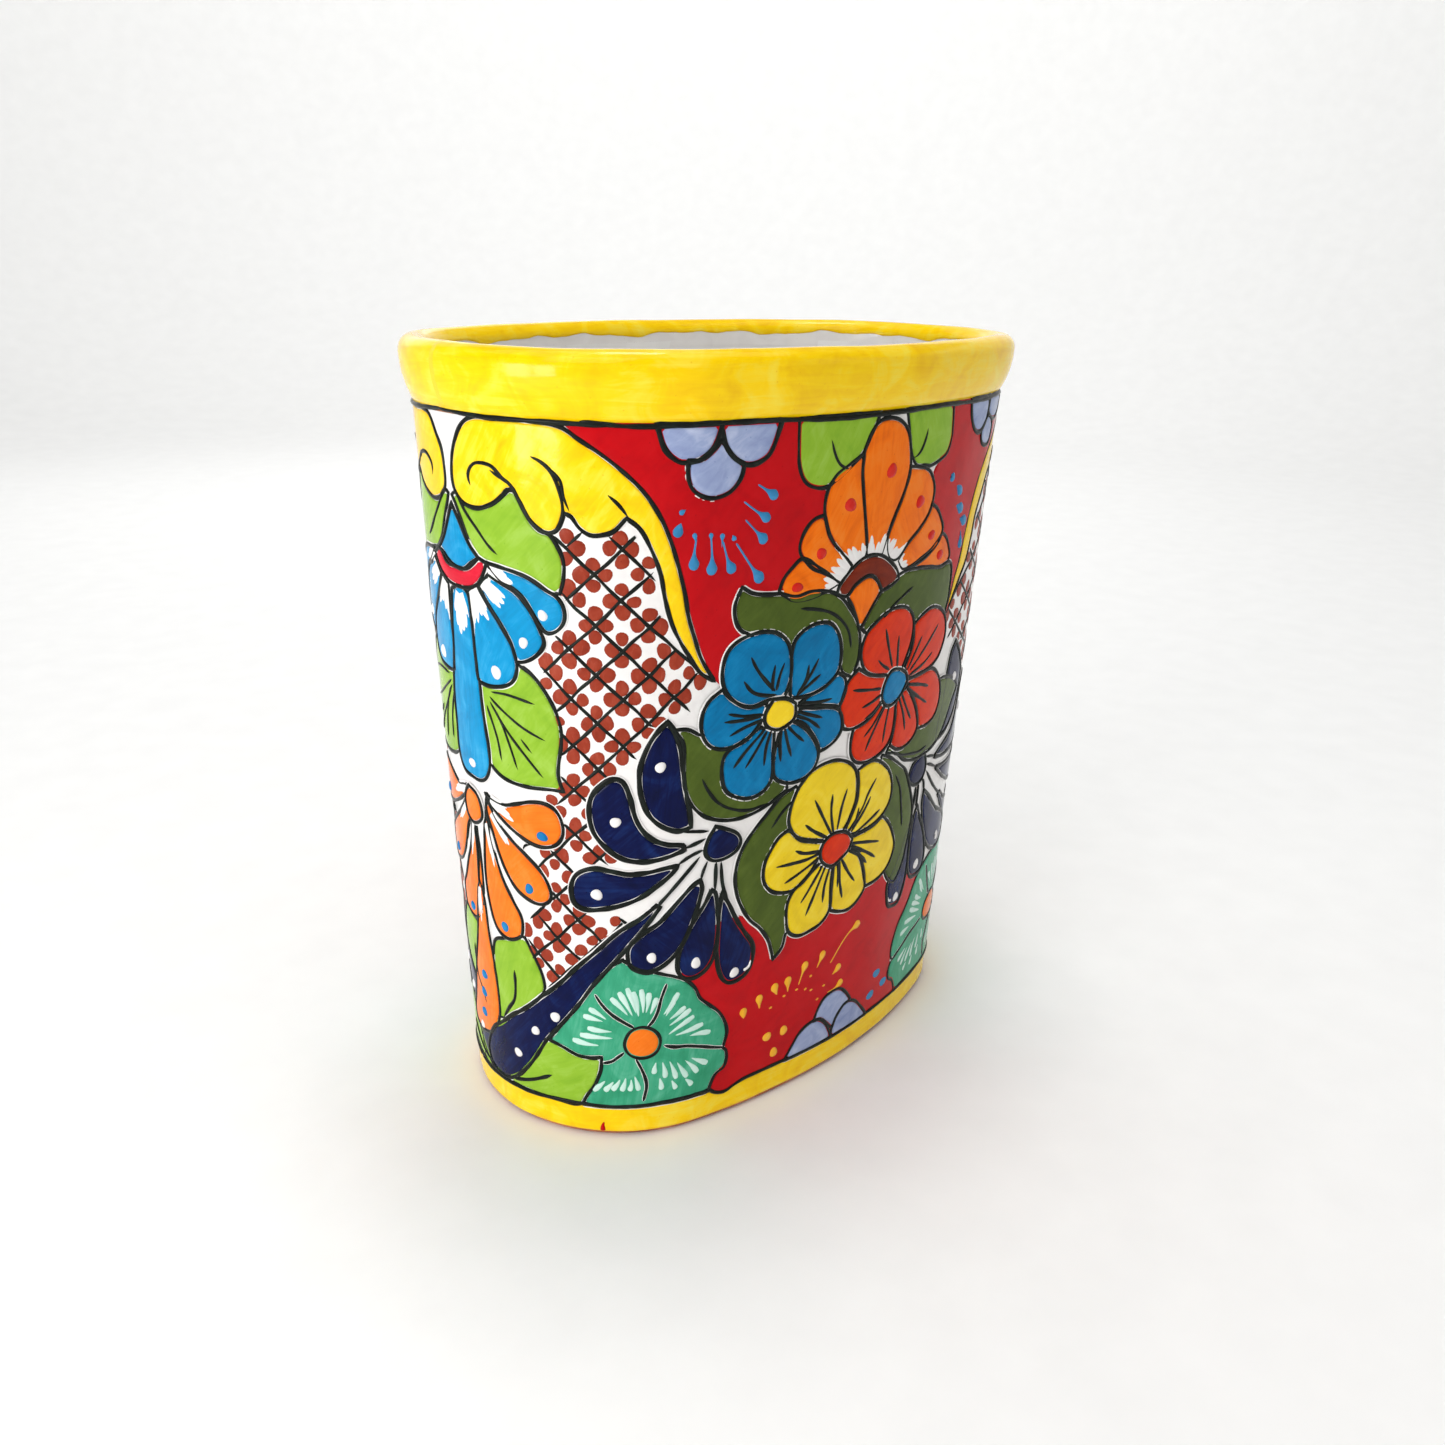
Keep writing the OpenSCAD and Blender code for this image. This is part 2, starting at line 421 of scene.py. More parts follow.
def paintFan():
    pick("fan", 1)
    shape("skyBlue", "15 260, 25 258.8, 35 256.6, 43 252.4, 47.5 250, 50 246, 50 241, 47 237, 43 235.5,"
          "41 236.5, 39 239, 37 242, 33 248, 28 251.5, 22 254", slant=1.2)
    shape("skyBlue", "10 250, 16 255.5, 22 253, 28 250.5, 33 246.5, 37 241, 39.5 236, 41 232, 40 229, 36 225,"
          "31 222.5, 27.5 222, 26.5 225.5, 25 230, 21 236, 15 243", slant=0.85)
    shape("skyBlue", "3 247, 9 250, 14 243.5, 20 236.5, 25 229.5, 27 224, 27.5 220, 26 215, 22 211.5, 15 209.5,"
          "8 209.5, 5 211, 4.3 218, 4 225, 4 235", slant=0.5)
    brush["layer"] += paint["over"]
    for root, tips in (((16, 257), ((27, 256), (30, 253.4), (26.5, 253))),
                       ((12.6, 252.4), ((25.5, 247), (22, 246.4), (25.4, 243.6), (19.4, 243.4), (22.4, 242))),
                       ((6.4, 248.4), ((14.6, 239.6), (11.6, 237), (15.6, 235.6), (8.6, 233.6), (6.2, 236),
                                       (5.6, 231.6)))):
        whiteRays(root, tips, 2.5)
    dot("41 242.5", 4.6)
    dot("31.5 230.5", 4.7)
    dot("16.5 216", 5.8)


def whiteRays(root, tips, width):
    # jagged white roots of a petal, where the colour starts ragged
    for tip in tips:
        middle = ((root[0] + tip[0]) / 2, (root[1] + tip[1]) / 2)
        path = [brush["place"](*root), brush["place"](*middle), brush["place"](*tip)]
        touch(path, [width * 1.25, width, width * 0.72, 0.15], "white", 0.12)


def paintFanCentre():
    pick("fan", 1.2)
    shape("skyBlue", "-9 246, -11 232, -13 220, -15 208, -16.5 198, -17.5 185, -17.5 176, -16 170, -12 166.5,"
          "-6 164.5, 0 165, 5 168, 7.5 174, 8 181, 7 190, 6 200, 5.5 210, 4.5 222, 4 235, 3.5 245, -3 248",
          slant=0)
    brush["layer"] += paint["over"]
    tips = ((-8.2, 236), (-7.0, 229), (-4.8, 225), (-1.8, 227), (0.6, 229.5), (2.2, 236), (-3.2, 234))
    whiteRays((-3, 245), tips, 2.9)
    dot("-4.5 172", (5.5, 4))
    brush["layer"] = 0.4
    shape("skyBlue", "-3.2 281, 0.8 274, 5 267, 10.6 261.8, 5 257.5, 1 256, -4 255.6, -9 257, -13 259.5,"
          "-18.4 261.4, -12 266, -7.6 273", slant=0)
    shape("crescentRed", "-17 260, -11 256.5, -4 255, 2 255.5, 7 258, 11 261.5, 15 260, 14 257, 11 252.5,"
          "6 249, 0 247.5, -6 247, -13 249, -18 252.5, -22 258", slant=1.57)


def paintFanLeaf():
    pick("fanLeaf", 0)
    shape("lime", "5 210, 15 210, 24 213, 28 221, 34 218, 39 213, 44 205, 46.5 197, 46.5 190, 45 182, 44.5 176,"
          "46 171, 47 169.5, 40 169.5, 30 169, 20 169.5, 13 171.5, 8 176, 7 190", slant=0.7)
    for vein in ("12 207, 22 207.4, 36 205.5", "11 205, 17 201, 28 195, 40 190.5",
                 "11 203, 20 192, 30 182, 38 174", "12 202, 17 195, 21 186, 25 175",
                 "9 201, 14 188, 16 177", "27 190, 33 184"):
        line(vein, 1.3, (0.5, 0.2), base=0.3)


def paintFeathers():
    pick("feather", 0.5)
    shape("orange", "2.5 160, 8 158.5, 15 158, 22 160, 30 162.5, 37 163, 42 161, 45 156.5, 45.5 150, 42 145,"
          "36 143, 30 143.5, 22 146.5, 14 150.5, 8 154.5", slant=1.4)
    shape("orange", "3 158, 10 149, 18 143, 27 137, 34 131, 38 124, 38 119, 34 116, 28 116, 20 119.5, 14 126,"
          "9 135, 6 143, 2.5 152", slant=0.8)
    shape("orange", "2 152, 4 140, 7 131, 11 122, 17 113, 21 107, 21.5 102, 20 97, 15 94, 9 93.5, 3 97,"
          "-0.5 105, -2.5 115, -2.5 125, -1.5 135, 0 145", slant=0.3)
    brush["layer"] += paint["over"]
    whiteRays((6, 158), ((20, 154), (17, 157), (23, 151)), 2.3)
    whiteRays((6, 152), ((16, 139), (13, 143), (19, 138)), 2.0)
    whiteRays((1.5, 146), ((6, 124), (3.5, 130), (8, 127)), 1.6)
    dot("35.5 148", (6, 4.5), "blueDot")
    dot("27 122", 5, "blueDot")
    dot("10 99", 5, "blueDot")
    line("25 140, 26 142, 29 143", 1.3)


def paintFeatherCentre():
    pick("feather", 0.9)
    shape("orange", "-11 112, -8 116, -5.8 105, -4 92, -2 80, 0 68, 0.5 58, -0.5 50, -3 44, -10 37, -18 33.5,"
          "-26 32.5, -32 34, -34 40, -28 52, -22 68, -17 85, -13 100", slant=0.2)
    brush["layer"] += paint["over"]
    whiteRays((-9.5, 112), ((-10, 92), (-8, 98), (-12, 97)), 1.3)
    for spot in ("-12 67", "-14 56.5", "-16 45"):
        dot(spot, (6, 5), "blueDot")
    shape("orange", "-11 160.5, -4 158, -0.5 153, -1.5 147, -7 143.5, -13 145.5, -15 151, -13.5 157")
    line("-8 143, -8 130, -8.5 120, -9 113")
    line("-13 144, -15 139, -17 133", 1.6)


def paintLowLeaves():
    pick("footLeaf", 0)
    shape("lime", "0 88, 8 92.5, 14 94, 20 97, 22 97, 26 91, 30 84, 32 78, 32 73, 29 69, 20 61, 10 54, 0 46,"
          "-4 50, -2 66", slant=0.4)
    line("14 79, 14 70, 12.5 63, 8 57, 3 50", 2.2, base=0.3)
    under = "-1 16, 3 30, 10 42, 20 46"      # the left leaf stops at the axis
    if brush["side"] == "right":
        under = "-12 15, -22 14.6, -24 30, -14 42, -4 48, 8 50, 20 44"
    shape("lime", "32 48, 40 46, 48 43, 57 42, 61 43, 60 35, 57 27, 53 22, 49 16.6, 35 16.4, 20 16.4,"
          "2 16.2," + under, slant=1.2)
    line("34 29.5, 27 26, 20 23, 12 20.5, 5 19", 2.2, base=0.3)


def paintClub():
    pick("club", 1 if brush["side"] == "right" else 0.15)
    shape("navy", "88 118, 80 112, 70 106, 60 97, 50 88, 40 78, 30 69.5, 20 61, 10 54, 0 46, -6 42, -12 34,"
          "-15 27, -13 20.5, -8 17.8, -2 17.2, 4 18, 12 23, 20 31, 26 39, 32 48, 40 57, 50 69, 58 80, 66 89,"
          "74 98, 81 106, 90 117", slant=0.75, width=2.5)
    line("87 116, 97 126, 109 138", 1.8)
    brush["layer"] += paint["over"]
    dot("37.5 61", (6, 5))
    dot("25.5 51", 5)
    dot("13 35.5", (5.6, 4.6))


lattice = dict(
    startU=51.5, startZ=210,   # one crossing
    stepU=10.8, stepZ=9.9,     # from one crossing to the next
    lines=14, walk=260, step=2.5, lineWidth=1.7, rise=0.35,
    reach=4.5,                 # from a crossing to the middle of each dot
    dot=7.0,
    waver=0.25,
)


def crossingLine(number, way, edge):
    # one diagonal of the lattice, in the stretches that lie inside the field
    diagonal = math.hypot(lattice["stepU"], lattice["stepZ"])
    walked = np.arange(-lattice["walk"], lattice["walk"], lattice["step"])
    marks = np.array([(lattice["startU"] + (2 * number + s / diagonal) * lattice["stepU"],
                       lattice["startZ"] + way * s / diagonal * lattice["stepZ"]) for s in walked])
    inside = list(isInside(edge, marks)) + [False]
    start = None
    for i, here in enumerate(inside):
        if here and start is None:
            start = i
        elif not here and start is not None:
            if i - start >= 3:
                waver = lattice["waver"]
                strayed = [[draws.gauss(0, waver) for _ in range(2)] for _ in range(i - start)]
                run = marks[start:i] + np.array(strayed)
                path = [brush["place"](*p) for p in [*run[::3], run[-1]]]
                line(path, lattice["lineWidth"], (0.6, 0.4), rise=lattice["rise"])
            start = None


def paintLattice():
    # crossed black lines with four brick-red dots about each crossing
    pick("lattice", 0)
    shaken, brush["shake"] = brush["shake"], 0
    edge = smoothPath(pairs(
        "31 288, 37 279.5, 45 275, 57 277, 63 274, 72 277, 78 277, 85 264, 88 252, 92 240, 98 228, 108 217,"
        "104 202, 92 201, 84 191, 77 177, 67 175, 60 168, 61 154, 68 146, 100 141, 68 137, 52 136, 50 126,"
        "54 118, 66 116, 80 105, 86 87, 76 96, 70 96, 58 84, 46 70, 32 74, 22 98, 26 108, 36 118, 34 128,"
        "26 138, 40 146, 44 158, 38 166, 44 172, 45 185, 44 200, 38 214, 38 224, 42 234, 50 240, 50 248,"
        "46 252, 51 258, 50 266, 46 273"), True, 2.5)
    for way in (1, -1):
        for number in range(-lattice["lines"], lattice["lines"] + 1):
            crossingLine(number, way, edge)
    for i in range(-12, 14):
        for j in range(-14, 10):
            if (i + j) % 2:
                continue
            u = lattice["startU"] + i * lattice["stepU"]
            z = lattice["startZ"] + j * lattice["stepZ"]
            for across, up in ((0, 1), (0, -1), (1, 0), (-1, 0)):
                spot = np.array([[u + across * lattice["reach"] + draws.gauss(0, 0.3),
                                  z + up * lattice["reach"] + draws.gauss(0, 0.3)]])
                if isInside(edge, spot)[0] and distanceTo(edge, spot)[0] > 0.8:
                    size = lattice["dot"] * draws.uniform(0.86, 1.1)
                    dot(f"{spot[0][0]} {spot[0][1]}", (size, size * draws.uniform(0.85, 1.1)), "brick", 0.22)
    brush["shake"] = shaken


def paintNavyFan():
    pick("navyFeather", 1)
    petals = (
        "92 200, 88 196.5, 84 191, 80.5 182, 80 174, 81.5 166, 85 159, 91 154, 98 151.5, 104 152.5, 103 160,"
        "101 168, 99.5 177, 98 187, 95.5 195",
        "69 176.5, 64 174, 59 168, 58 160, 60 152, 66 145, 73 140.5, 82 139, 92 140, 101 142.4, 100 144.6,"
        "93 146, 86 149, 81 154, 78 160, 76 168, 73 175",
        "48.5 125, 50 131, 54 134.5, 60 136, 67 135, 75 133.5, 84 134, 92 135.2, 98 135.6, 95 132, 88 127,"
        "80 122, 72 119, 63 117, 55 116.5, 50 119",
        "74.5 95, 76 89, 82 86, 88 86.5, 95 90.5, 101 97, 106 107, 110.6 122, 109.6 127, 105 124.5, 98 118,"
        "90 110, 82 105, 76 100",
        "115.5 121, 111.5 114, 105 105, 100 95, 99 86, 102 81, 108 79.5, 114 82, 118 88, 119.5 98, 119 110,"
        "117.4 119",
        "121 118, 120 112, 119.5 100, 119.5 88, 121 79, 125 72.5, 130 71.5, 136 74, 139 80, 138.5 88, 134 95,"
        "129 103, 124.5 112",
    )
    leans = (0.1, 0.9, 1.5, -0.9, -0.3, 0.3)
    for petal, way in zip(petals, leans):
        shape("navy", petal, slant=way, width=2.7)
    shape("navy", "116 150.5, 121 148.5, 127 145, 129 141, 127 137, 121 134.5, 115 135, 111.5 139, 112.5 145")
    for stem in ("98 151.5, 106 150, 113 149", "101 143, 107 144.5, 112 146", "98 136, 104 139, 111 141",
                 "109.5 126, 111 131, 113 135.5", "117 119, 117.2 127, 117 135", "124.5 112, 121 122, 119.5 134"):
        line(stem, 1.7)
    brush["layer"] += paint["over"]
    for spot, size in (("89 181", 5), ("69.5 157.5", 5), ("60.5 124", 5.6), ("86 93", 5.2), ("108.5 87", 5.6),
                       ("129 76.5", 5.2)):
        dot(spot, size)
    touch("134 76, 136.8 77.2, 138 80", [0.9, 0.7, 0.2], "white", 0.4)


def paintTealFlower():
    pick("tealFlower", 0.5)
    shape("teal", "72 92.5, 78 89, 85 86.5, 92 84, 98 82, 104 79, 109 74, 112 68, 117 63, 122 58, 125.5 52,"
          "127 46, 126 41, 125 38, 127 36, 127.5 31, 126 27, 122 25, 120 22, 118 16.4, 100 16.4, 80 16.4,"
          "60 16.4, 50 16.6, 53 22, 57 28, 60.5 36, 61 43, 50 42.5, 40 46, 33 48, 40 57, 50 69, 58 80, 66 89",
          slant=0.2)
    level = brush["layer"]
    brush["layer"] += 0.12
    for divider in ("58 76, 62 70, 67 65, 73 61, 78 58", "94 80, 91 72, 89.5 66, 87 61, 84 58",
                    "92 48, 98 46, 105 45, 112 43, 120 40, 126 38", "78 43, 82 35, 84 28, 83 22, 82 18.5",
                    "73 46, 69 43, 66 41, 61 40"):
        line(divider, 2.2, (0.6, 0.8), halo=True)
    brush["layer"] = level + paint["over"]
    rays = (
        "66 74, 71 69, 76 63", "70 77, 74 70, 78 62", "74 79, 77 71, 79.5 63", "77 77, 79 70, 80 61.5",
        "81 78, 82 71, 82 63", "85 76, 84.5 70, 83 64",
        "89 73, 87 68, 85 63", "98 71, 96 67, 93 62", "104 66, 99.5 63, 94 60", "109 60, 101.5 56.5, 93 52",
        "107 64, 100 60, 93.5 56.5",
        "114 54.5, 106 53, 96 51.5", "118 49, 112 50, 105 50", "100 74, 96 68, 91 62",
        "88 33, 88 36, 89 40", "94 30, 93.5 34, 92 40", "100 28.5, 98.5 33, 95.5 40", "106 28, 103.5 32, 99 39",
        "112 29, 109 33, 103.5 38.5",
        "117 32.5, 113 35, 107 38.5", "92 24, 91.5 28, 90.5 32", "100 23, 98.5 26, 97 29",
        "109 23, 107 25.5, 104 28",
        "56 25, 60 28, 64 32", "62 25, 65 28, 68 31.5", "66 25.5, 69 29, 71 33", "71 25, 72.5 29, 73.5 33.5",
        "75 25, 76 28, 76 32", "80 25, 79 29, 77.5 34",
        "50 54, 58 53.6, 70 53", "52 64, 57 63, 63 61.5", "54 58, 60 57, 68 56.5", "55 68, 60 65.5, 65 62",
        "46 51, 54 49.6, 62 49.2",
    )
    for ray in rays:
        touch(ray, [1.3, 2.0, 1.6, 1.05, 0.55, 0.2], "paleTeal", 0.14)
    brush["layer"] = level + 0.2
    shape("orange", "73.4 53, 76.4 57, 82 58.4, 88 56, 91 50.6, 88.8 44.6, 82.4 42.2, 75.8 44, 72.8 48.4")


def paintTie():
    for side, place in (("right", asDrawn), ("left", mirrored)):
        brush["place"], brush["side"] = place, side
        brush["shake"] = 0 if (side == "right" and brush["panel"] == "front") else paint["shake"]
        for job in (paintScroll, paintTopLeaf, paintFan, paintFanLeaf, paintFeathers, paintLowLeaves,
                    paintClub, paintLattice, paintNavyFan, paintTealFlower):
            job()
    brush["place"] = asDrawn
    paintFanCentre()
    paintFeatherCentre()


# The middle of each panel: red fields, shell, olive leaves and three flowers.
def redAndLilac():
    pick("redField", 0)
    # wide fields that the motifs are laid over
    shape("red", "50 315.6, 97 315.6, 152 315.6, 152 300, 160 290, 170 270, 165 250, 152 235, 134 214, 120 209,"
          "112.4 215.5, 106.5 226, 103.5 234, 100.5 243, 98.5 252, 95.5 263, 92.5 272, 88.5 281, 82.5 290,"
          "75.5 297, 66.5 304, 58.5 309",
          outlined=False)
    shape("red", "240 315.6, 290 315.6, 332 315.6, 322 309, 314 304, 304 297, 295 290, 286 278, 280 266,"
          "276 254, 272 240, 267 224, 262 206, 254 214, 244 228, 236 244, 226 262, 232 284, 240 298",
          outlined=False)
    shape("red", "119 18, 120 15.4, 125 13.4, 131 13.8, 136 15.6, 145 16, 180 16, 220 16, 256 16, 258 18,"
          "252 28, 246 38, 249 48, 254 58, 262 71, 268 78, 262 92, 250 98, 236 92, 226 98, 205 96, 185 96,"
          "164 94, 151 80, 145 92, 132 104, 118 104, 104 90, 100 82, 109 74, 112 68, 122 58, 127 46, 125.5 38,"
          "127.5 31, 122 25", outlined=False)

    pick("lilacScale", 1)
    for scale in (
        "86 314.7, 89 306, 94 301.5, 98 301, 103 302, 108 306, 111.5 314.7",
        "110.5 314.7, 113 306, 117 301.5, 122 299, 128 299.5, 133 303, 137.5 314.7",
        "262.5 314.7, 265 307, 269 302, 274 299.5, 280 300, 285 305, 287 314.7",
        "284 314.7, 287 307, 293 304, 300 304, 306 308, 309 314.7",
    ):
        shape("lilac", scale, width=2.5)
    brush["layer"] += 0.05     # the lower scale of each group laps over the two above it
    shape("lilac", "98 302, 98 296, 100 291, 105 288, 110 287.5, 116 289.5, 120 294, 121.5 299.5, 117 302,"
          "111.5 309, 108 305, 103 301.8")
    shape("lilac", "279 300.5, 281 295, 286 292.5, 291 293, 294 298, 294 303, 288 306, 284 304")
    pick("lilacScale", 1)
    for scale in (
        "196 20, 198 26, 202 30, 208 31.5, 214 29, 220 23, 226 16, 210 16, 196 16",
        "163 16, 168 23, 172 28, 178 31, 184 31, 190 27, 194 21, 196 16, 180 16",
        "181.5 31, 184 37, 188 41.5, 194 43, 200 42, 205 38, 209 33, 209.6 31.6, 204 30.6, 199 26, 196.4 21,"
        "190.5 27, 186 30.6",
    ):
        shape("lilac", scale)


def paintDrops():
    pick("slipDrop", 1)
    for stroke, size in (("94 273.5, 94.6 276, 95.6 279", 2.4), ("101.4 260.5, 101.2 266, 102 273.5", 2.6),
                         ("109 258, 108.9 265, 108.1 273.5", 2.7),
                         ("118.8 258, 116 263, 113.2 271.5", 2.6), ("132.4 253, 127 259.5, 119 270", 2.9),
                         ("133.4 268.6, 128 273.5, 122.6 278.6", 2.5),
                         ("134.4 277.2, 128 281, 121.5 285.5", 2.5),
                         ("137.4 285.6, 132.5 288.5, 127.5 291.5", 2.5), ("101 275, 101.6 272, 102 270", 1.2),
                         ("108 274.6, 108.2 272, 108.4 270", 1.1), ("113 274, 113 271, 113 268", 1.2),
                         ("118.6 270.5, 118 272, 117.4 273", 1.2),
                         ("95 282, 96 283, 97.6 284", 1.2), ("253.5 280.5, 252 282, 250.6 283.4", 2.6),
                         ("264 273.4, 261 275.6, 258 277.6", 2.9),
                         ("268 265.4, 264 267, 260 268.4", 3.1), ("274 259, 270 260.4, 266 261.4", 3.0),
                         ("270.5 247, 270 251, 269.4 256", 2.6)):
        drip(stroke, size, "slipBlue")
    for stroke, size in (("135.5 55.6, 135.8 52.6, 136.2 49.6", 2.4),
                         ("144.5 59.6, 144.8 55.6, 145.2 51.6", 2.4), ("153 62.6, 154 59, 155.4 55.6", 2.5),
                         ("161.5 63.4, 161.8 59, 162.2 54.6", 2.5), ("173 67.6, 171 62, 168.8 55.6", 2.5),
                         ("185 69, 183 65, 180.6 60.6", 2.4),
                         ("211 75, 201 70.6, 190 59.6", 2.6), ("198.4 56.6, 195.6 54.4, 192.4 52.6", 2.3),
                         ("201.4 46.4, 195.6 44, 189.6 43.8", 2.3)):
        drip(stroke, size, "slipYellow")
    for spot in ("151 34.5", "161.5 34", "156 24"):
        dot(spot, 5.4, "slipYellow", 0.7)
    for spot in ("152 50", "160 53.5", "168 54", "177 58", "174 52", "178 50", "187 49", "183 43"):
        dot(spot, (2.6, 1.6), "slipYellow", 0.2)
    for spot in ("232 37", "228 26", "240 28.5"):
        dot(spot, (8, 5), "slipBlue", 0.5)


shellRays = dict(
    centreU=192, centreZ=238,
    first=18, last=166, step=5,         # degrees
    root=(17.5, 15), reach=(22.5, 28), wide=1.25, width=2.3,
)


def paintShell():
    pick("shellLeaf", 0.5)
    shape("lime", "145.5 314.7, 146 305, 147 297, 150 291, 155 288, 162 287.5, 172 292, 182 300, 188 310,"
          "190 314.7, 168 314.7", slant=0.5)
    shape("lime", "207 314.7, 210 306, 213 297, 218 291, 225 290, 230 289.5, 239 291.5, 244 294, 246.5 300,"
          "246 306, 244.5 314.7, 226 314.7", slant=-0.5)
    line("162.5 306, 165 300, 168 296, 172 294, 174 293.5", 1.4, base=0.48)
    line("224 306, 222 300, 219 296, 215 294", 1.4, base=0.48)
    pick("shell", 1)
    for petal, way in (
        ("141 248, 143 253, 147 257, 152 260, 160 256, 168 251, 173 247, 160 243, 148 243", 1.3),
        ("248 257.5, 253 255, 257 250, 259 246, 258 243, 250 242, 240 243, 228 245, 218 246, 226 248.5,"
         "238 252, 244 255.5", -1.3),
        ("174 247, 165 252, 158 255, 153 259, 150 264, 151.5 270, 156 275, 162 276.5, 166 267, 173 260,"
         "180 254", 0.9),
        ("235 272.5, 240 270, 245 265, 248 260, 246 255, 241 251.5, 233 248.5, 225 247, 215 247, 211 251,"
         "218 258, 226 263, 232 268", -0.9),
        ("181 252, 179 254, 173 260, 167 266, 163 273, 161.5 280, 163 287, 167 292, 173 295, 182 299, 182 291,"
         "184 281, 186.5 270, 188 258", 0.5),
        ("213 291, 220 290, 226 289, 231 286, 235 280, 235 274, 232 268, 226 263, 218 258, 210 252, 204 254,"
         "202 262, 206 271, 210.5 280", -0.5),
        ("189 255, 188.5 258, 187 265, 185 275, 183 285, 181.5 292, 182 300, 185 307, 190 311, 196 312,"
         "203 310.5, 209 306, 212 299, 213.5 291, 213 286, 210 279, 206 272, 202 264, 199 256", 0),
    ):
        shape("shellOrange", petal, slant=way)
    brush["layer"] += paint["over"]
    for degrees in range(shellRays["first"], shellRays["last"], shellRays["step"]):
        a = math.radians(degrees + draws.uniform(-2, 2))
        reach = draws.uniform(*shellRays["reach"])
        u, z, wide = shellRays["centreU"], shellRays["centreZ"], shellRays["wide"]
        root = (u + shellRays["root"][0] * math.cos(a), z + shellRays["root"][1] * math.sin(a) + 2)
        tip = (u + wide * reach * math.cos(a), z + reach * math.sin(a) + 1)
        whiteRays(root, [tip], shellRays["width"])
    for spot, size in (("200 290.5", 6.6), ("176 279", (7, 6)), ("161.5 261", 5.4), ("150 248.6", (6, 4.4)),
                       ("223.5 275", (7, 5.6)), ("237 258.5", (6.4, 4.6)), ("247.5 248", (6.6, 4.6))):
        dot(spot, size, "slipRed", 0.8)
    brush["layer"] -= 0.1
    shape("crescentBrown", "173 246, 178 251, 184 255, 191 256.5, 198 255.5, 205 252, 211 247, 213 243,"
          "207 240.5, 201 240, 198 244, 194 247, 189.5 247.5, 183 245, 178 241, 172 242.5", slant=1.57)
    shape("shellOrange", "178 241, 183 245, 189.5 247.5, 194 247, 198 244, 201 240, 195 233, 191 228,"
          "188 224.5, 185 231, 182 236", slant=0)


def paintOliveLeaves():
    pick("oliveLeaf", 1.4)
    leaves = (
        ("123 252, 128 249, 135 247.5, 142 247, 150 245, 158 246, 168 244.5, 175 241, 181 235, 186 229,"
         "189 222, 189.5 212, 186 204, 180 207, 176 212, 150 212, 132 228, 128 232, 124 234, 121 238, 120 245",
         "152 239.6, 161 238, 169 235.5, 176 231, 181 225, 183.5 217"),
        ("189.5 225, 194 232, 200 238, 208 243, 217 245.5, 230 245, 240 244, 250 242, 260 242.5, 263 240,"
         "264 232, 263 222, 255 212, 230 212, 205 214",
         "226 237.5, 219 235, 211 231.5, 203 226"),
        ("95 196.5, 101 196, 107 193, 118 192, 140 180, 150 168, 152 160, 142 155, 133 152.5, 124 152, 115 154,"
         "108 158, 103 164, 100 172, 99.5 180, 99 190",
         "108 174, 112 167, 117 161, 124 157, 132 155, 142 156"),
        ("157 160, 150 158, 142 151, 134 143, 129 135, 127 126, 128 117, 131 109, 136 101, 142 95, 147 88,"
         "150 80, 151 76, 156 81, 158 88, 168 98, 172 130, 168 150",
         "157 155, 150 150, 144 143"),
        ("266 184.5, 272 184, 280 182, 288 178, 293 174, 287 168, 281 160, 274 153, 265 149.5, 255 148.5,"
         "245 149, 235 152, 228 157, 218 160, 226 172, 250 182",
         "222 160, 230 156, 240 153.5, 250 152, 258 153"),
        ("215 160, 222 157, 230 152, 238 146, 243 138, 247 130, 250 122, 250 113, 248 103, 246 95, 241 88,"
         "237 86.5, 231 91, 226 98, 212 110, 205 140",
         "228 147, 234 138, 237 128, 239 120, 240 115"),
    )
    for outline, vein in leaves:
        shape("olive", outline, slant=0.8)
        line(vein, 1.7, base=brush["layer"] + 0.3)


def paintFlower(motif, glaze, petals, veins, eye, eyeGlaze, layer):
    pick(motif, layer)
    for petal in petals:
        shape(glaze, petal)
    brush["layer"] += 0.28
    for vein in veins:
        line(vein, 2.2, (0.25, 0.85), rise=0.36)
    brush["layer"] += 0.12
    shape(eyeGlaze, eye, width=2.0)


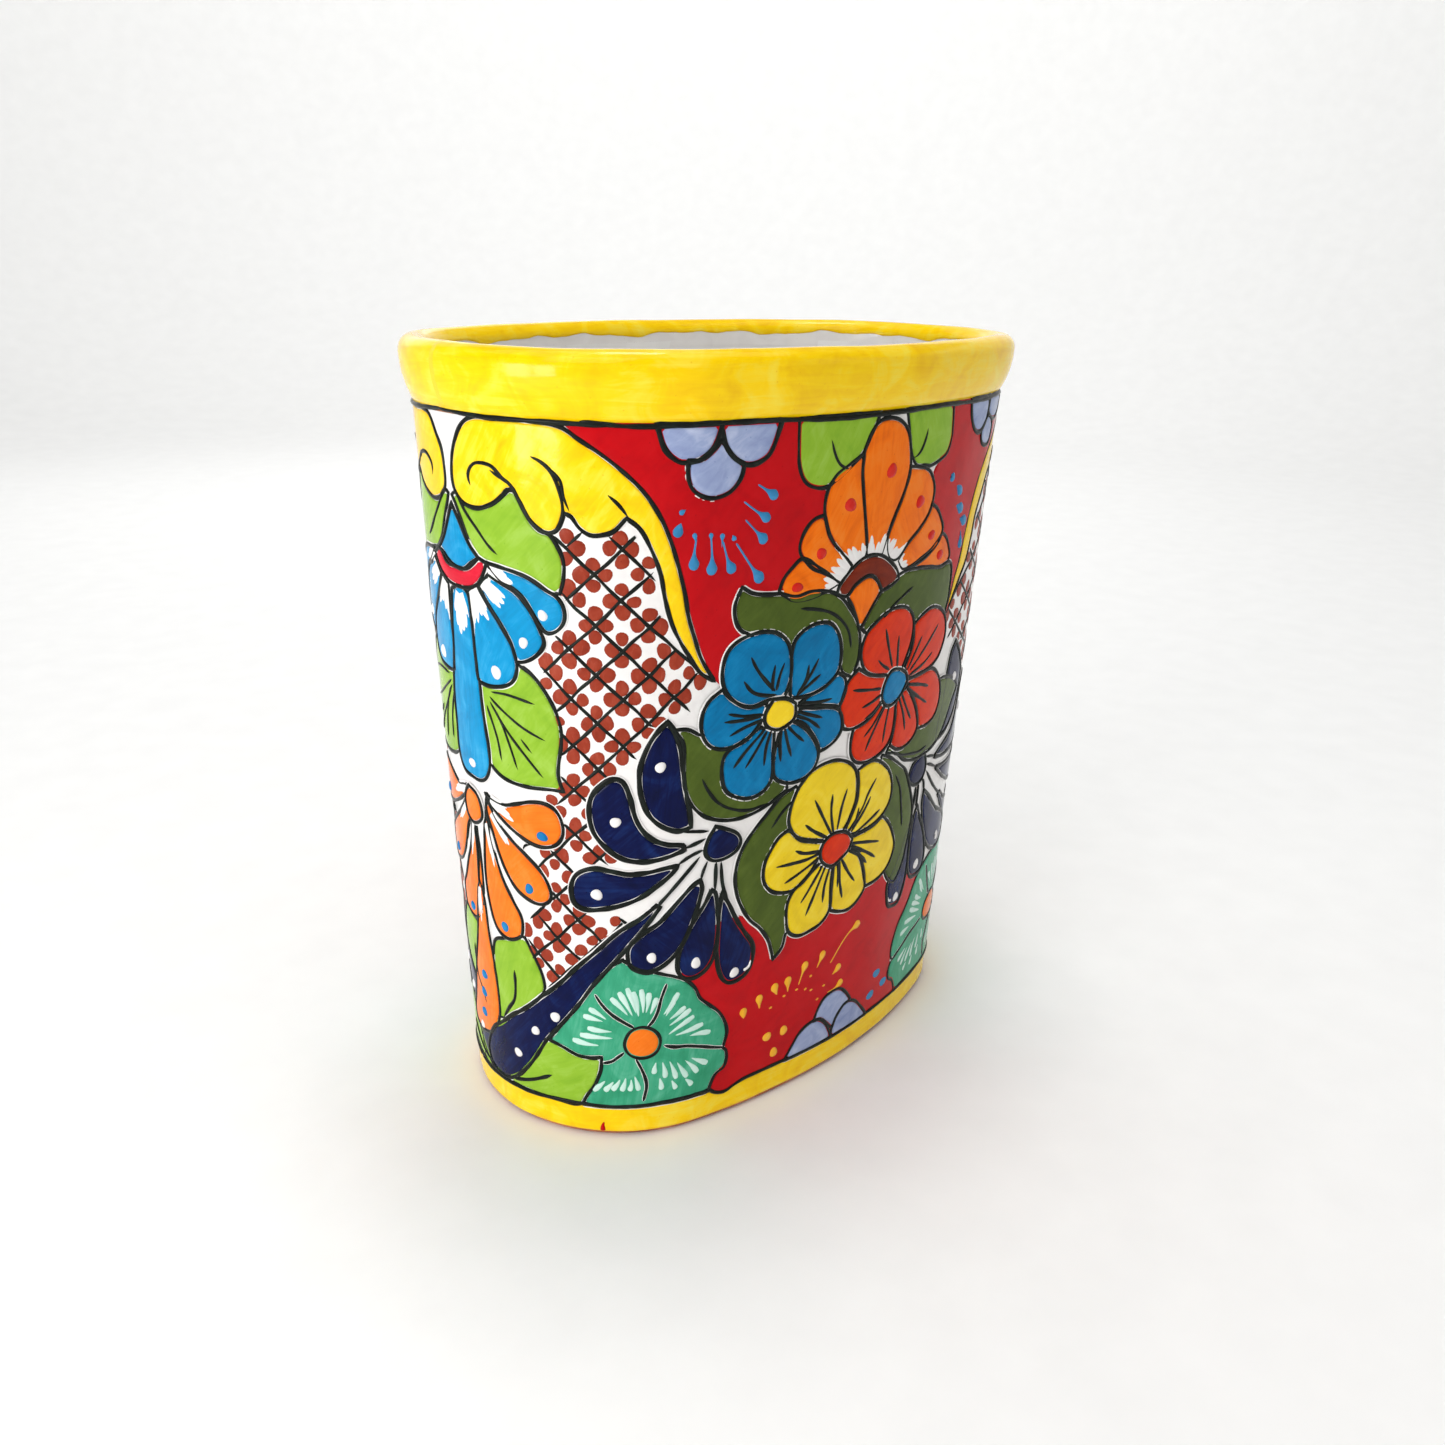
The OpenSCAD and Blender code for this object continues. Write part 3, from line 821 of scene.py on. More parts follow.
def paintFlowers():
    paintFlower("blueFlower", "flowerBlue", (
        "139 203, 130 201.5, 122 205, 117 211, 115.5 219, 118 227, 124 231, 133 232.5, 141 231, 147 226,"
        "149.5 218, 149.5 210, 147 203",
        "150 225, 155 230, 163 232, 171 230, 176 223, 177.5 215, 176 208, 170 203.5, 163 201.5, 156 201,"
        "150 201.5, 149.5 212",
        "154 197.6, 160 200.6, 168 202.6, 176.5 208, 181 205, 182.5 200, 181 195, 179 192, 175 193.5, 168 195,"
        "160 196",
        "152 191.6, 156 195.6, 163 194.6, 172 193.4, 178.6 191, 181.5 187, 182 181, 179 177, 174 174.5,"
        "169 173.6, 168 177, 164 183, 158 189",
        "146 190, 151.5 191, 158 187.6, 164 181.6, 168.6 173.6, 167 167, 162 163.5, 155 162.5, 149 164,"
        "144 168, 143.4 178",
        "142.6 189.4, 142.8 178, 143 168, 140 163, 134 160.5, 127 161.5, 120 166, 117.5 174, 118 181,"
        "121 184.4, 128 187, 135 191.4",
        "137 197, 132 190, 126 186.6, 119 185, 112 187, 107.5 193, 107 201, 110 207, 116 211, 121 205.6,"
        "129 201.4, 138 202",
    ), ("128 224, 132 217, 138 210, 142 206", "125 214, 130 208, 136 205.5, 143 204.6",
        "141 219, 140 212, 140 206", "146 219, 143.6 213, 142 206",
        "159 216, 158 209, 153 202", "165 218, 160 210, 154 203", "167 210, 160 206, 153 202",
        "175 197, 167 197, 155 198.4",
        "170 189, 162 192, 153 195.4", "169 184, 161 190, 152 194", "153 174, 150 182, 147.6 190",
        "160 180, 154 185, 149 190",
        "147 173, 146 182, 146.4 190", "138 173, 138.6 182, 141 190", "128 174, 133 181, 139 190",
        "122 175, 128 182, 138 191",
        "118 200.5, 127 198, 137 197", "116 197, 125 196.4, 136 196.6", "119 190, 127 193, 136 195"),
        "141 203, 148 202, 153 199, 153 193, 149 190, 144 189, 138 192, 137 197", "eyeYellow", 2.6)
    paintFlower("orangeFlower", "flowerOrange", (
        "217 199, 206 200.5, 198 203, 193 207, 190.5 214, 193 222, 199 226, 206 229, 214 230, 223 228, 229 222,"
        "229.5 213, 227 206, 223 200",
        "230 219, 236 222, 245 224, 254 222, 261 217, 264 209, 262 202, 258 197, 250 194, 240 193.6, 230 194,"
        "226 200, 230 207, 231 213",
        "190 207, 197 203, 205 200.6, 213 199, 209 192, 209.6 187, 203 182.5, 195 180, 188 179.5, 183 181,"
        "182 185, 179.5 191, 180.5 197, 184 203",
        "190 179.4, 189 173, 190 167, 194 162.5, 201 160.5, 210 161, 217 164, 220.6 169, 221.6 177, 221 185,"
        "216 187, 210 187, 203 182.4, 196 180",
        "222 184.6, 222.4 177, 221.4 168, 220 163.6, 226 160, 233 159, 240 161, 244 165, 244 169, 241 176,"
        "236 183, 230 189.4, 226 188",
        "230 193, 243 193, 253 193, 260 189, 265 182, 266 174, 262 167, 254 164.5, 245 165, 244.4 169,"
        "241.4 176.4, 236.4 183.4, 230 190",
    ), ("206 223, 210 213, 215 202", "202 209, 207 205, 213 201.6", "217.5 218, 218 210, 219 201",
        "186 198, 196 196, 208 194",
        "193 188, 200 189, 209 191.4", "196 182, 203 184, 210 189", "197 173, 204 178, 213 187",
        "199 165, 203 172, 213 186",
        "213 166, 214 175, 216 186", "239 213, 234 206, 228 198", "255 215, 246 208, 230 197",
        "252 202, 243 198, 230 195",
        "252 184.5, 243 187.5, 229 191", "252 176, 243 181, 229 189.6", "232 167, 229 176, 223 186.6",
        "237 171.5, 232 178, 225 188"),
        "213 200, 220 200.5, 227 197, 229 193, 224 187, 217 184, 211 186, 208.5 192", "flowerBlue", 2.6)
    paintFlower("yellowFlower", "flowerYellow", (
        "157 157, 160 161, 165 165, 173 167, 182 166.5, 190 163, 195 158, 197 150, 197 143, 194 136, 190 130.6,"
        "183 129, 177 129, 170 131, 162 134, 157 138, 154 144, 154.5 150",
        "196.4 158, 203 159.5, 210 159, 217 155, 223 149, 226 141, 225 134, 220 129, 214 126.5, 207 125.5,"
        "198 125.6, 191 129, 195 136, 198 143, 198 151",
        "197 124.4, 207 124.6, 214 125.6, 220 128, 226 123, 231 116, 234 108, 231 100, 226 96, 219 94, 211 94,"
        "210 100, 207 108, 203 115, 197 121",
        "190 115.6, 196.6 120, 202.4 114.6, 206.6 107.6, 209.6 99.6, 211 94, 207 89, 200 86, 193 87, 186 90,"
        "186 96, 185.6 104, 185.6 113",
        "184.8 112.6, 184.8 104, 185.4 96, 185 90, 180 85.5, 173 84, 165 84, 159 88, 157 95, 157 103,"
        "160 108.6, 165 111, 170 114.6, 176 118",
        "175 122, 170 115.4, 164.6 111.4, 159 109, 152 110, 146 113, 142 119, 142 127, 145 133, 149 138,"
        "154.6 140.5, 161.6 133.6, 169.4 130.4, 177 128",
    ), ("147 124, 158 123, 167 122.5, 177 123.5", "158 129.5, 165 126, 177 124", "153 114, 163 117, 176 121.6",
        "168 152, 173 144, 178 136, 182 130",
        "180 152, 180 142, 183 130", "190 152, 187 143, 185 131", "163 141, 169 136, 180 129",
        "212 151, 206 144, 202 137, 193 127.6",
        "209 143, 204 136, 195 127", "218 133, 209 129.5, 196 125", "200 140, 198 132, 192 128",
        "220 115, 210 118, 196 121.6",
        "218 107, 209 113, 195 121", "211 106, 205 112, 194 119", "203 99, 197 106, 190 116",
        "194 93, 191 103, 189 116", "189.5 100, 189 108, 188 116",
        "164 100, 170 107, 178 117", "168 92, 173 102, 180 116.4", "179.5 95, 180 105, 183 115"),
        "180 130, 186 130.5, 193 128, 197 124, 195 119, 190 116, 184 114, 178 117, 175 122, 176 127",
        "flowerOrange", 2.6)


for number, panel in enumerate(("front", "back")):
    brush["panel"], brush["shift"] = panel, number * panelLength
    for job in (redAndLilac, paintTie, paintShell, paintOliveLeaves, paintDrops, paintFlowers):
        brush["place"] = asDrawn
        brush["shake"] = 0 if panel == "front" else paint["shake"]
        job()
    print("painted panel:", panel)


# Black lines under the rim and above the foot, brushed by hand in overlapping strokes
def paintBorders():
    brush["panel"], brush["place"] = "whole", asDrawn
    for motif, strokes in (
        ("upperLine", ("-8 315.6, 20 315.4, 45 315.0, 60 314.6, 72 314.9", "57 315.4, 75 314.6, 100 314.2,"
                       "130 313.9, 165 314.0, 200 313.7, 240 313.9, 275 313.6, 300 313.8, 330 314.2, 352 314.5",
                       "340 313.9, 360 314.7, 380 315.2, 396 315.5")),
        ("lowerLine", ("-30 15.2, -12 14.4, 0 15.2, 20 16.6, 45 17.0, 70 16.8, 95 17.1, 112 17.2",
                       "106 17.6, 118 16.6, 122 14.4, 127 13.2, 133 14.6,"
                       "140 16.2, 165 16.5, 195 16.2, 225 16.7, 250 16.4",
                       "243 17.0, 265 16.2, 290 16.6, 320 16.2, 345 16.6, 372 15.4")),
    ):
        pick(motif, 0)
        for number in range(2):
            brush["shift"] = number * panelLength
            for stroke in strokes:
                line(stroke, 2.3, (0.3, 0.2), rise=1.1)


paintBorders()
brush["shift"] = 0
pick("footDrip", 0)            # a red drip that ran onto the yellow foot
touch("61.5 8.2, 61.2 6.2, 60.8 3.4", [0.4, 0.9, 1.6, 1.9], "red", 0.5, base=0.25)


# Glazes and clay, each from one set of nodes with its own colours and brush marks.
def linear(text, alpha=1.0):
    channels = [int(text[i:i + 2], 16) / 255 for i in (1, 3, 5)]
    return [c / 12.92 if c <= 0.04045 else ((c + 0.055) / 1.055) ** 2.4 for c in channels] + [alpha]


def addNode(tree, kind, values, **settings):
    # values are numbers or sockets to link, and settings belong to the node itself
    node = tree.nodes.new("ShaderNode" + kind)
    for name, value in settings.items():
        if name == "stops":
            ramp = node.color_ramp.elements
            while len(ramp) < len(value):
                ramp.new(0.5)
            for element, (position, colour) in zip(ramp, value):
                element.position = position
                element.color = colour
        else:
            setattr(node, name, value)
    for name, value in values.items():
        if isinstance(value, bpy.types.NodeSocket):
            tree.links.new(value, node.inputs[name])
        else:
            node.inputs[name].default_value = value
    return node


# What the brush leaves in each glaze, unless the glaze says otherwise
brushwork = dict(
    brushed=0.8,               # how strongly the strokes show
    rough=0.12, relief=0.08,   # relief in mm
    edgeDark=0.3,              # how much darker the glaze gathers along its edge
    gloss=0.1,                 # specular level of a coloured coat
)


def recipe(title, slot, mid, pale, deep, streak, **changed):
    # streak is its width and length in mm
    return dict(brushwork, title=title, slot=slot, mid=mid, pale=pale, deep=deep, streak=streak, **changed)


glazes = dict(
    # tin-opacified glaze, dipped: milky, glossy, with faint warm and cool clouds and pinholes
    white=recipe("white_tin_glaze_dipped", "white_glaze", "#F1EEEC", "#FBFAF8", "#DFDBDA", (9, 22),
                 brushed=0.5, rough=0.1, relief=0.16, edgeDark=0.1, gloss=0.2),
    # lead-free yellow, laid with a wide soft brush: thin passes go pale, pooled ones golden
    yellow=recipe("yellow_glaze_brushed", "yellow_glaze", "#FFD400", "#FFEF60", "#F0B600", (3.2, 26),
                  brushed=0.95, rough=0.1, relief=0.14, edgeDark=0.25, gloss=0.2),
    # manganese and iron line, trailed on: raised, nearly black, olive where it runs thin
    black=recipe("black_line_trailed", "black_enamel", "#171B18", "#2E3A33", "#0B0D0C", (0.9, 9),
                 brushed=0.5, rough=0.22, edgeDark=0.0),
    red=recipe("red_selenium_glaze_brushed", "red_enamel", "#C00812", "#CC141C", "#9E0410", (6, 24),
               brushed=0.5, rough=0.11, relief=0.12, edgeDark=0.35),
    orange=recipe("orange_glaze_brushed", "orange_enamel", "#F67A1E", "#FF9C48", "#E25A0C", (1.8, 18),
                  brushed=0.7, edgeDark=0.35),
    shellOrange=recipe("amber_glaze_brushed", "orange_enamel", "#FA7606", "#FF9A38", "#DC5A02", (2.0, 18),
                       brushed=0.85, edgeDark=0.4),
    skyBlue=recipe("sky_blue_glaze_brushed", "blue_enamel", "#0A92CA", "#48B6E2", "#0474A6", (1.8, 16),
                   brushed=0.85),
    flowerBlue=recipe("copper_blue_glaze_brushed", "blue_enamel", "#0076AC", "#2098CC", "#005A86", (2.6, 14),
                      edgeDark=0.35),
    blueDot=recipe("blue_slip_dotted", "blue_enamel", "#1478B8", "#3A97CE", "#0A5E98", (2, 5),
                   brushed=0.4, rough=0.14, relief=0.05, edgeDark=0.2),
    # cobalt, laid thick: almost black where it pools, royal blue where it thins
    navy=recipe("cobalt_glaze_brushed", "blue_enamel", "#050F40", "#163472", "#02051E", (2.2, 20), rough=0.1),
    lime=recipe("lime_green_glaze_brushed", "green_enamel", "#90BA34", "#B2D464", "#76A424", (3.0, 18),
                brushed=0.85, relief=0.1),
    olive=recipe("olive_green_glaze_brushed", "green_enamel", "#4B5C1F", "#61742E", "#3A4816", (2.6, 14),
                 brushed=0.7, rough=0.14),
    teal=recipe("copper_green_glaze_brushed", "teal_enamel", "#3DA27C", "#6FC4A4", "#27875F", (2.6, 15),
                brushed=0.95),
    lilac=recipe("lilac_glaze_brushed", "lilac_enamel", "#9DAACE", "#D2DAEC", "#7888B6", (3.4, 10), brushed=1.0),
    paleTeal=recipe("pale_green_wash_brushed", "teal_enamel", "#CDEADF", "#E6F6F0", "#A6D8C6", (1.2, 9),
                    relief=0.05, edgeDark=0.35),
    brick=recipe("iron_red_slip_dabbed", "red_enamel", "#9A3A26", "#B4543E", "#7F2A1A", (2.4, 5),
                 rough=0.2, relief=0.05),
    crescentRed=recipe("crimson_glaze_brushed", "red_enamel", "#DB2038", "#E84A5A", "#B80F26", (2, 14),
                       brushed=0.7, relief=0.06),
    crescentBrown=recipe("iron_brown_glaze_brushed", "red_enamel", "#7A250C", "#9A3C1C", "#571505", (2, 14),
                         brushed=0.7, relief=0.06),
    flowerOrange=recipe("red_orange_glaze_brushed", "orange_enamel", "#DE3000", "#EE4A0A", "#B62000", (2.6, 14),
                        brushed=0.7, edgeDark=0.35),
    flowerYellow=recipe("chrome_yellow_glaze_brushed", "yellow_glaze", "#F4D20A", "#FFEA50", "#DAB400", (2.8, 14),
                        edgeDark=0.35, gloss=0.2),
    eyeYellow=recipe("pale_yellow_glaze_brushed", "yellow_glaze", "#FFDC20", "#FFF080", "#F0C000", (2, 8),
                     brushed=0.7, relief=0.06, gloss=0.2),
    slipBlue=recipe("blue_slip_trailed", "blue_enamel", "#3A86B8", "#5AA2CE", "#2A6C9C", (2, 6),
                    brushed=0.5, rough=0.2, relief=0.05, edgeDark=0.2),
    slipYellow=recipe("yellow_slip_trailed", "yellow_glaze", "#F2B22C", "#F9CC58", "#DE9616", (2, 6),
                      brushed=0.5, rough=0.2, relief=0.05, edgeDark=0.2, gloss=0.2),
    slipRed=recipe("red_slip_dotted", "red_enamel", "#D3261E", "#E44A3C", "#B0140E", (2, 6),
                   brushed=0.4, rough=0.14, relief=0.05, edgeDark=0.2),
)


surface = dict(
    cloud=17, grit=12, peel=6,          # mm: clouds of thickness, specks of grit, orange-peel of the melted glaze
    speck=(0.018, 0.032),               # radius of a speck, as a share of the grit spacing
    pooled=(0.1, 1.5),                  # mm from the edge over which the glaze gathers
    ridge=0.05,                         # mm, brush ridges
    ior=1.5,
)


def makeGlaze(look):
    material = bpy.data.materials.new(look["title"])
    material.use_nodes = True
    tree = material.node_tree
    shader = tree.nodes["Principled BSDF"]
    where = addNode(tree, "UVMap", {}, uv_map="brushMap").outputs["UV"]      # mm across and along the stroke
    wide, long = look["streak"]
    stretched = addNode(tree, "Mapping", {"Vector": where, "Scale": (1 / wide, 1 / long, 1)})
    streaks = addNode(tree, "TexNoise", {"Vector": stretched.outputs[0], "Scale": 1.0, "Detail": 5.0,
                                         "Roughness": 0.62, "Distortion": 0.6}, noise_dimensions="2D")
    clouds = addNode(tree, "TexNoise", {"Vector": where, "Scale": 1 / surface["cloud"], "Detail": 3.0,
                                        "Roughness": 0.55, "Distortion": 0.9}, noise_dimensions="2D")
    mix = addNode(tree, "Mix", {"Factor": 0.62, "A": streaks.outputs[0], "B": clouds.outputs[0]},
                  data_type="FLOAT")
    spread = 0.3 / look["brushed"]      # a strongly brushed glaze reaches its pale and deep colours sooner
    deep = linear(look["deep"])
    tone = addNode(tree, "ValToRGB", {"Fac": mix.outputs[0]}, stops=(
        (max(0.02, 0.5 - spread), deep), (0.5, linear(look["mid"])),
        (min(0.98, 0.5 + spread * 1.2), linear(look["pale"]))))
    # glaze gathers in a darker line just inside the edge of each shape
    gap = addNode(tree, "Attribute", {}, attribute_name="edgeGap")
    near, far = surface["pooled"]
    pooled = addNode(tree, "MapRange", {"Value": gap.outputs["Fac"], "From Min": near, "From Max": far,
                                        "To Min": look["edgeDark"], "To Max": 0.0},
                     interpolation_type="SMOOTHSTEP")
    colour = addNode(tree, "Mix", {"Factor": pooled.outputs[0], "A": tone.outputs[0], "B": deep},
                     data_type="RGBA")
    # tiny dark specks of clay and grit fired into the glaze
    grit = addNode(tree, "TexVoronoi", {"Vector": where, "Scale": 1 / surface["grit"]}, voronoi_dimensions="2D")
    speck = addNode(tree, "MapRange", {"Value": grit.outputs["Distance"], "From Min": surface["speck"][0],
                                       "From Max": surface["speck"][1], "To Min": 0.55, "To Max": 0.0})
    specked = addNode(tree, "Mix", {"Factor": speck.outputs[0], "A": colour.outputs["Result"], "B": deep},
                      data_type="RGBA")
    tree.links.new(specked.outputs["Result"], shader.inputs["Base Color"])
    sheen = addNode(tree, "MapRange", {"Value": streaks.outputs[0], "From Min": 0.3, "From Max": 0.7,
                                       "To Min": look["rough"] * 0.7, "To Max": look["rough"] * 1.5})
    tree.links.new(sheen.outputs[0], shader.inputs["Roughness"])
    peel = addNode(tree, "TexNoise", {"Vector": where, "Scale": 1 / surface["peel"], "Detail": 2.0},
                   noise_dimensions="2D")
    soft = addNode(tree, "Bump", {"Height": peel.outputs[0], "Strength": 0.6, "Distance": look["relief"] * mm})
    ridges = addNode(tree, "Bump", {"Height": streaks.outputs[0], "Strength": 0.25,
                                    "Distance": surface["ridge"] * mm, "Normal": soft.outputs[0]})
    tree.links.new(ridges.outputs[0], shader.inputs["Normal"])
    shader.inputs["IOR"].default_value = surface["ior"]
    shader.inputs["Specular IOR Level"].default_value = look["gloss"]
    return material


clay = dict(sand=0.7, wash=22, deep="#96502F", mid="#B4683F", pale="#CB8A60")      # grain and wiping in mm


def makeTerracotta():
    # low-fired red clay, sponged and left bare: matt, sandy, pale where it is rubbed
    material = bpy.data.materials.new("terracotta_bare_wiped")
    material.use_nodes = True
    tree = material.node_tree
    shader = tree.nodes["Principled BSDF"]
    where = addNode(tree, "TexCoord", {}).outputs["Object"]
    sand = addNode(tree, "TexNoise", {"Vector": where, "Scale": 1 / (clay["sand"] * mm), "Detail": 4.0})
    wash = addNode(tree, "TexNoise", {"Vector": where, "Scale": 1 / (clay["wash"] * mm), "Detail": 3.0})
    mix = addNode(tree, "Mix", {"Factor": 0.4, "A": wash.outputs[0], "B": sand.outputs[0]}, data_type="FLOAT")
    tone = addNode(tree, "ValToRGB", {"Fac": mix.outputs[0]}, stops=(
        (0.36, linear(clay["deep"])), (0.5, linear(clay["mid"])), (0.64, linear(clay["pale"]))))
    tree.links.new(tone.outputs[0], shader.inputs["Base Color"])
    rough = addNode(tree, "MapRange", {"Value": sand.outputs[0], "To Min": 0.72, "To Max": 0.95})
    tree.links.new(rough.outputs[0], shader.inputs["Roughness"])
    grain = addNode(tree, "Bump", {"Height": sand.outputs[0], "Strength": 0.5, "Distance": 0.15 * mm})
    tree.links.new(grain.outputs[0], shader.inputs["Normal"])
    shader.inputs["IOR"].default_value = 1.45
    return material


materials = {name: makeGlaze(look) for name, look in glazes.items()}
print("glazes mixed:", len(materials))


def makePiece(name, glaze, points, faces, maps, gaps):
    mesh = bpy.data.meshes.new(name)
    mesh.vertices.add(len(points))
    mesh.vertices.foreach_set("co", points.astype(np.float32).ravel())
    sides = faces.shape[1]
    mesh.loops.add(len(faces) * sides)
    mesh.loops.foreach_set("vertex_index", faces.astype(np.int32).ravel())
    mesh.polygons.add(len(faces))
    mesh.polygons.foreach_set("loop_start", np.arange(0, len(faces) * sides, sides, dtype=np.int32))
    mesh.polygons.foreach_set("use_smooth", np.ones(len(faces), bool))
    mesh.update(calc_edges=True)
    layer = mesh.uv_layers.new(name="brushMap")
    layer.data.foreach_set("uv", maps[faces.ravel()].astype(np.float32).ravel())
    edge = mesh.attributes.new("edgeGap", "FLOAT", "POINT")
    edge.data.foreach_set("value", gaps.astype(np.float32))
    mesh.materials.append(materials[glaze])
    mesh.validate()
    piece = bpy.data.objects.new(name, mesh)
    bpy.context.collection.objects.link(piece)
    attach(piece, "root")
    return piece


def faceOut(points, faces):
    # turns faces so that they look away from the middle of the vase
    corners = points[faces]
    normal = np.cross(corners[:, 1] - corners[:, 0], corners[:, 2] - corners[:, 0])
    inward = (normal * corners.mean(1) * [1, 1, 0]).sum(1) < 0
    faces[inward] = faces[inward][:, ::-1]
    return faces


for name, made in gathered.items():
    points = np.concatenate(made["points"])
    faces = faceOut(points, np.concatenate(made["faces"]))
    makePiece(name, made["glaze"], points, faces, np.concatenate(made["maps"]), np.concatenate(made["gaps"]))
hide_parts("upper_line")
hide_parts("lower_line")
print("painted pieces:", len(gathered))


columns = 300                  # round each coat
ringU = np.arange(columns) * 2 * panelLength / columns


def loft(name, glaze, rows):
    # a coat swept round the vase: rows of out and z, numbers or one for each column
    outs, heights = (np.array([np.broadcast_to(row[part], columns) for row in rows], float) for part in (0, 1))
    points = ringPoints(ringU, outs + swell(ringU, heights), heights).reshape(-1, 3)
    row, column = np.meshgrid(np.arange(len(rows) - 1), np.arange(columns), indexing="ij")
    a = (row * columns + column).ravel()
    b = (row * columns + (column + 1) % columns).ravel()
    faces = np.stack([a, b, b + columns, a + columns], -1)
    walked = np.concatenate([[0], np.cumsum(np.hypot(np.diff(outs.mean(1)), np.diff(heights.mean(1))))])
    maps = np.stack([np.repeat(walked, columns), np.tile(ringU, len(rows))], -1)
    ends = np.minimum(walked, walked[-1] - walked)
    return makePiece(name, glaze, points, faces, maps, np.repeat(ends, columns))


# White ground over the whole wall
groundRows = [(wallOut(z), z) for z in np.arange(footTop[2] - 1, lineTop + 0.5, 3.0)]
ground = loft("white_ground_coat", "white", groundRows)
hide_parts("white_ground")

# Rolled rim: the white lip inside, and the yellow over it with a brushed, wavy lower edge
rim = dict(
    foot=lineTop, rollSteps=14, bellySteps=7,
    lipFrom=13,                # where the white lip starts, mm below the top
    edgeDepth=6.2, edgeWave=1.5,        # the yellow's brushed edge inside
    # share and waves round the oval of that edge
    edgeWaves=((0.45, 9), (0.35, 17), (0.3, 31), (0.12, 53), (0.05, 97)),
    edgeTall=0.7,              # from that edge up to where the yellow is full
    lipTall=3.5,
    coat=0.35, crest=2.6,      # the rolled top starts this far below the highest point
    rise=0.4, riseFrom=4,      # the crest's own waves, and how far down they reach
    fadeIn=12,                 # the outer waves fade in over this, from the inner face
    # hand-rolled: share, waves round the oval, start, drift
    uneven=((0.35, 5, 0.7, 1), (0.22, 11, 2.0, 1), (0.1, 19, 0, 1)),
)
rimFront = wallOut(rim["foot"]) + vase["rimOut"]
mouthIn = wallOut(rim["foot"]) - vase["wall"]
rollMiddle = (rimFront + mouthIn) / 2
rollRadius = (rimFront - mouthIn) / 2
rollHeight = height - rollRadius
bellyDrop = rollHeight - rim["foot"]
bellyRadius = (bellyDrop ** 2 + vase["rimOut"] ** 2) / (2 * vase["rimOut"])
bellyTurn = math.asin(bellyDrop / bellyRadius)


def rimOutline(coat):
    # out and z from inside the mouth over the top and down the belly
    outline = []
    for step in range(rim["rollSteps"] + 1):
        a = math.pi * (1 - step / rim["rollSteps"])
        reach = rollRadius + coat
        outline.append((rollMiddle + reach * math.cos(a), rollHeight + reach * math.sin(a)))
    for step in range(1, rim["bellySteps"] + 1):
        a = -bellyTurn * step / rim["bellySteps"]
        reach = bellyRadius + coat
        outline.append((rimFront - bellyRadius + reach * math.cos(a), rollHeight + reach * math.sin(a)))
    return outline


def insideOut(z, coat):
    # the inner face of the rim at a height: upright, then the roll
    above = np.clip(z - rollHeight, 0, rollRadius * 0.999)
    return rollMiddle - np.sqrt((rollRadius + coat) ** 2 - above ** 2)


lipLow = height - rim["lipFrom"]
lipRows = [(mouthIn, lipLow), (mouthIn, lipLow + rim["lipTall"])]
loft("mouth_white_lip", "white", lipRows + rimOutline(-0.1)[:rim["rollSteps"] // 2])

edge = height - rim["edgeDepth"] + rim["edgeWave"] * waves(
    ringU, [(share, count, draws.uniform(0, 6.28), 1) for share, count in rim["edgeWaves"]])
full = edge + rim["edgeTall"]
yellowRows = [(insideOut(edge, -0.15), edge), (insideOut(edge + 0.25, rim["coat"] * 0.7), edge + 0.25)]
for part in (0, 0.33, 0.67):
    between = full * (1 - part) + (height - rim["crest"]) * part
    yellowRows.append((insideOut(between, rim["coat"]), between))
for out, z in rimOutline(rim["coat"]):
    if z > height - rim["crest"] or out > rollMiddle:
        outer = min(1, max(0, (out - mouthIn) / rim["fadeIn"])) if z > rim["foot"] + 1 else 0
        onTop = rim["rise"] if z > height - rim["riseFrom"] else 0
        swung, raised = waves(ringU, rim["uneven"]), waves(ringU + 60, rim["uneven"])
        yellowRows.append((out + outer * swung, z + onTop * raised))
yellowRows.append((out - 1.0, z - 0.4))
rimPiece = loft("rim_yellow_coat", "yellow", yellowRows)
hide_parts("rim_glaze")

# Yellow band at the foot: lift and height, a little thicker where it gathers at its lower edge
band = ((-0.5, 2.8), (0.1, 3.1), (0.35, 3.9), (0.3, 6), (0.2, 9), (0.18, 12), (0.2, 14), (0.15, 15.6),
        (-0.3, 17.0))
foot = loft("foot_yellow_coat", "yellow", [(wallOut(z) + lift, z) for lift, z in band])
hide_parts("foot_glaze")
print("coats laid")

pour = dict(cloud=26, deep="#F1EFED", mid="#F8F7F5", pale="#FDFCFB", relief=0.5, ior=1.52, coat=0.25)      # mm


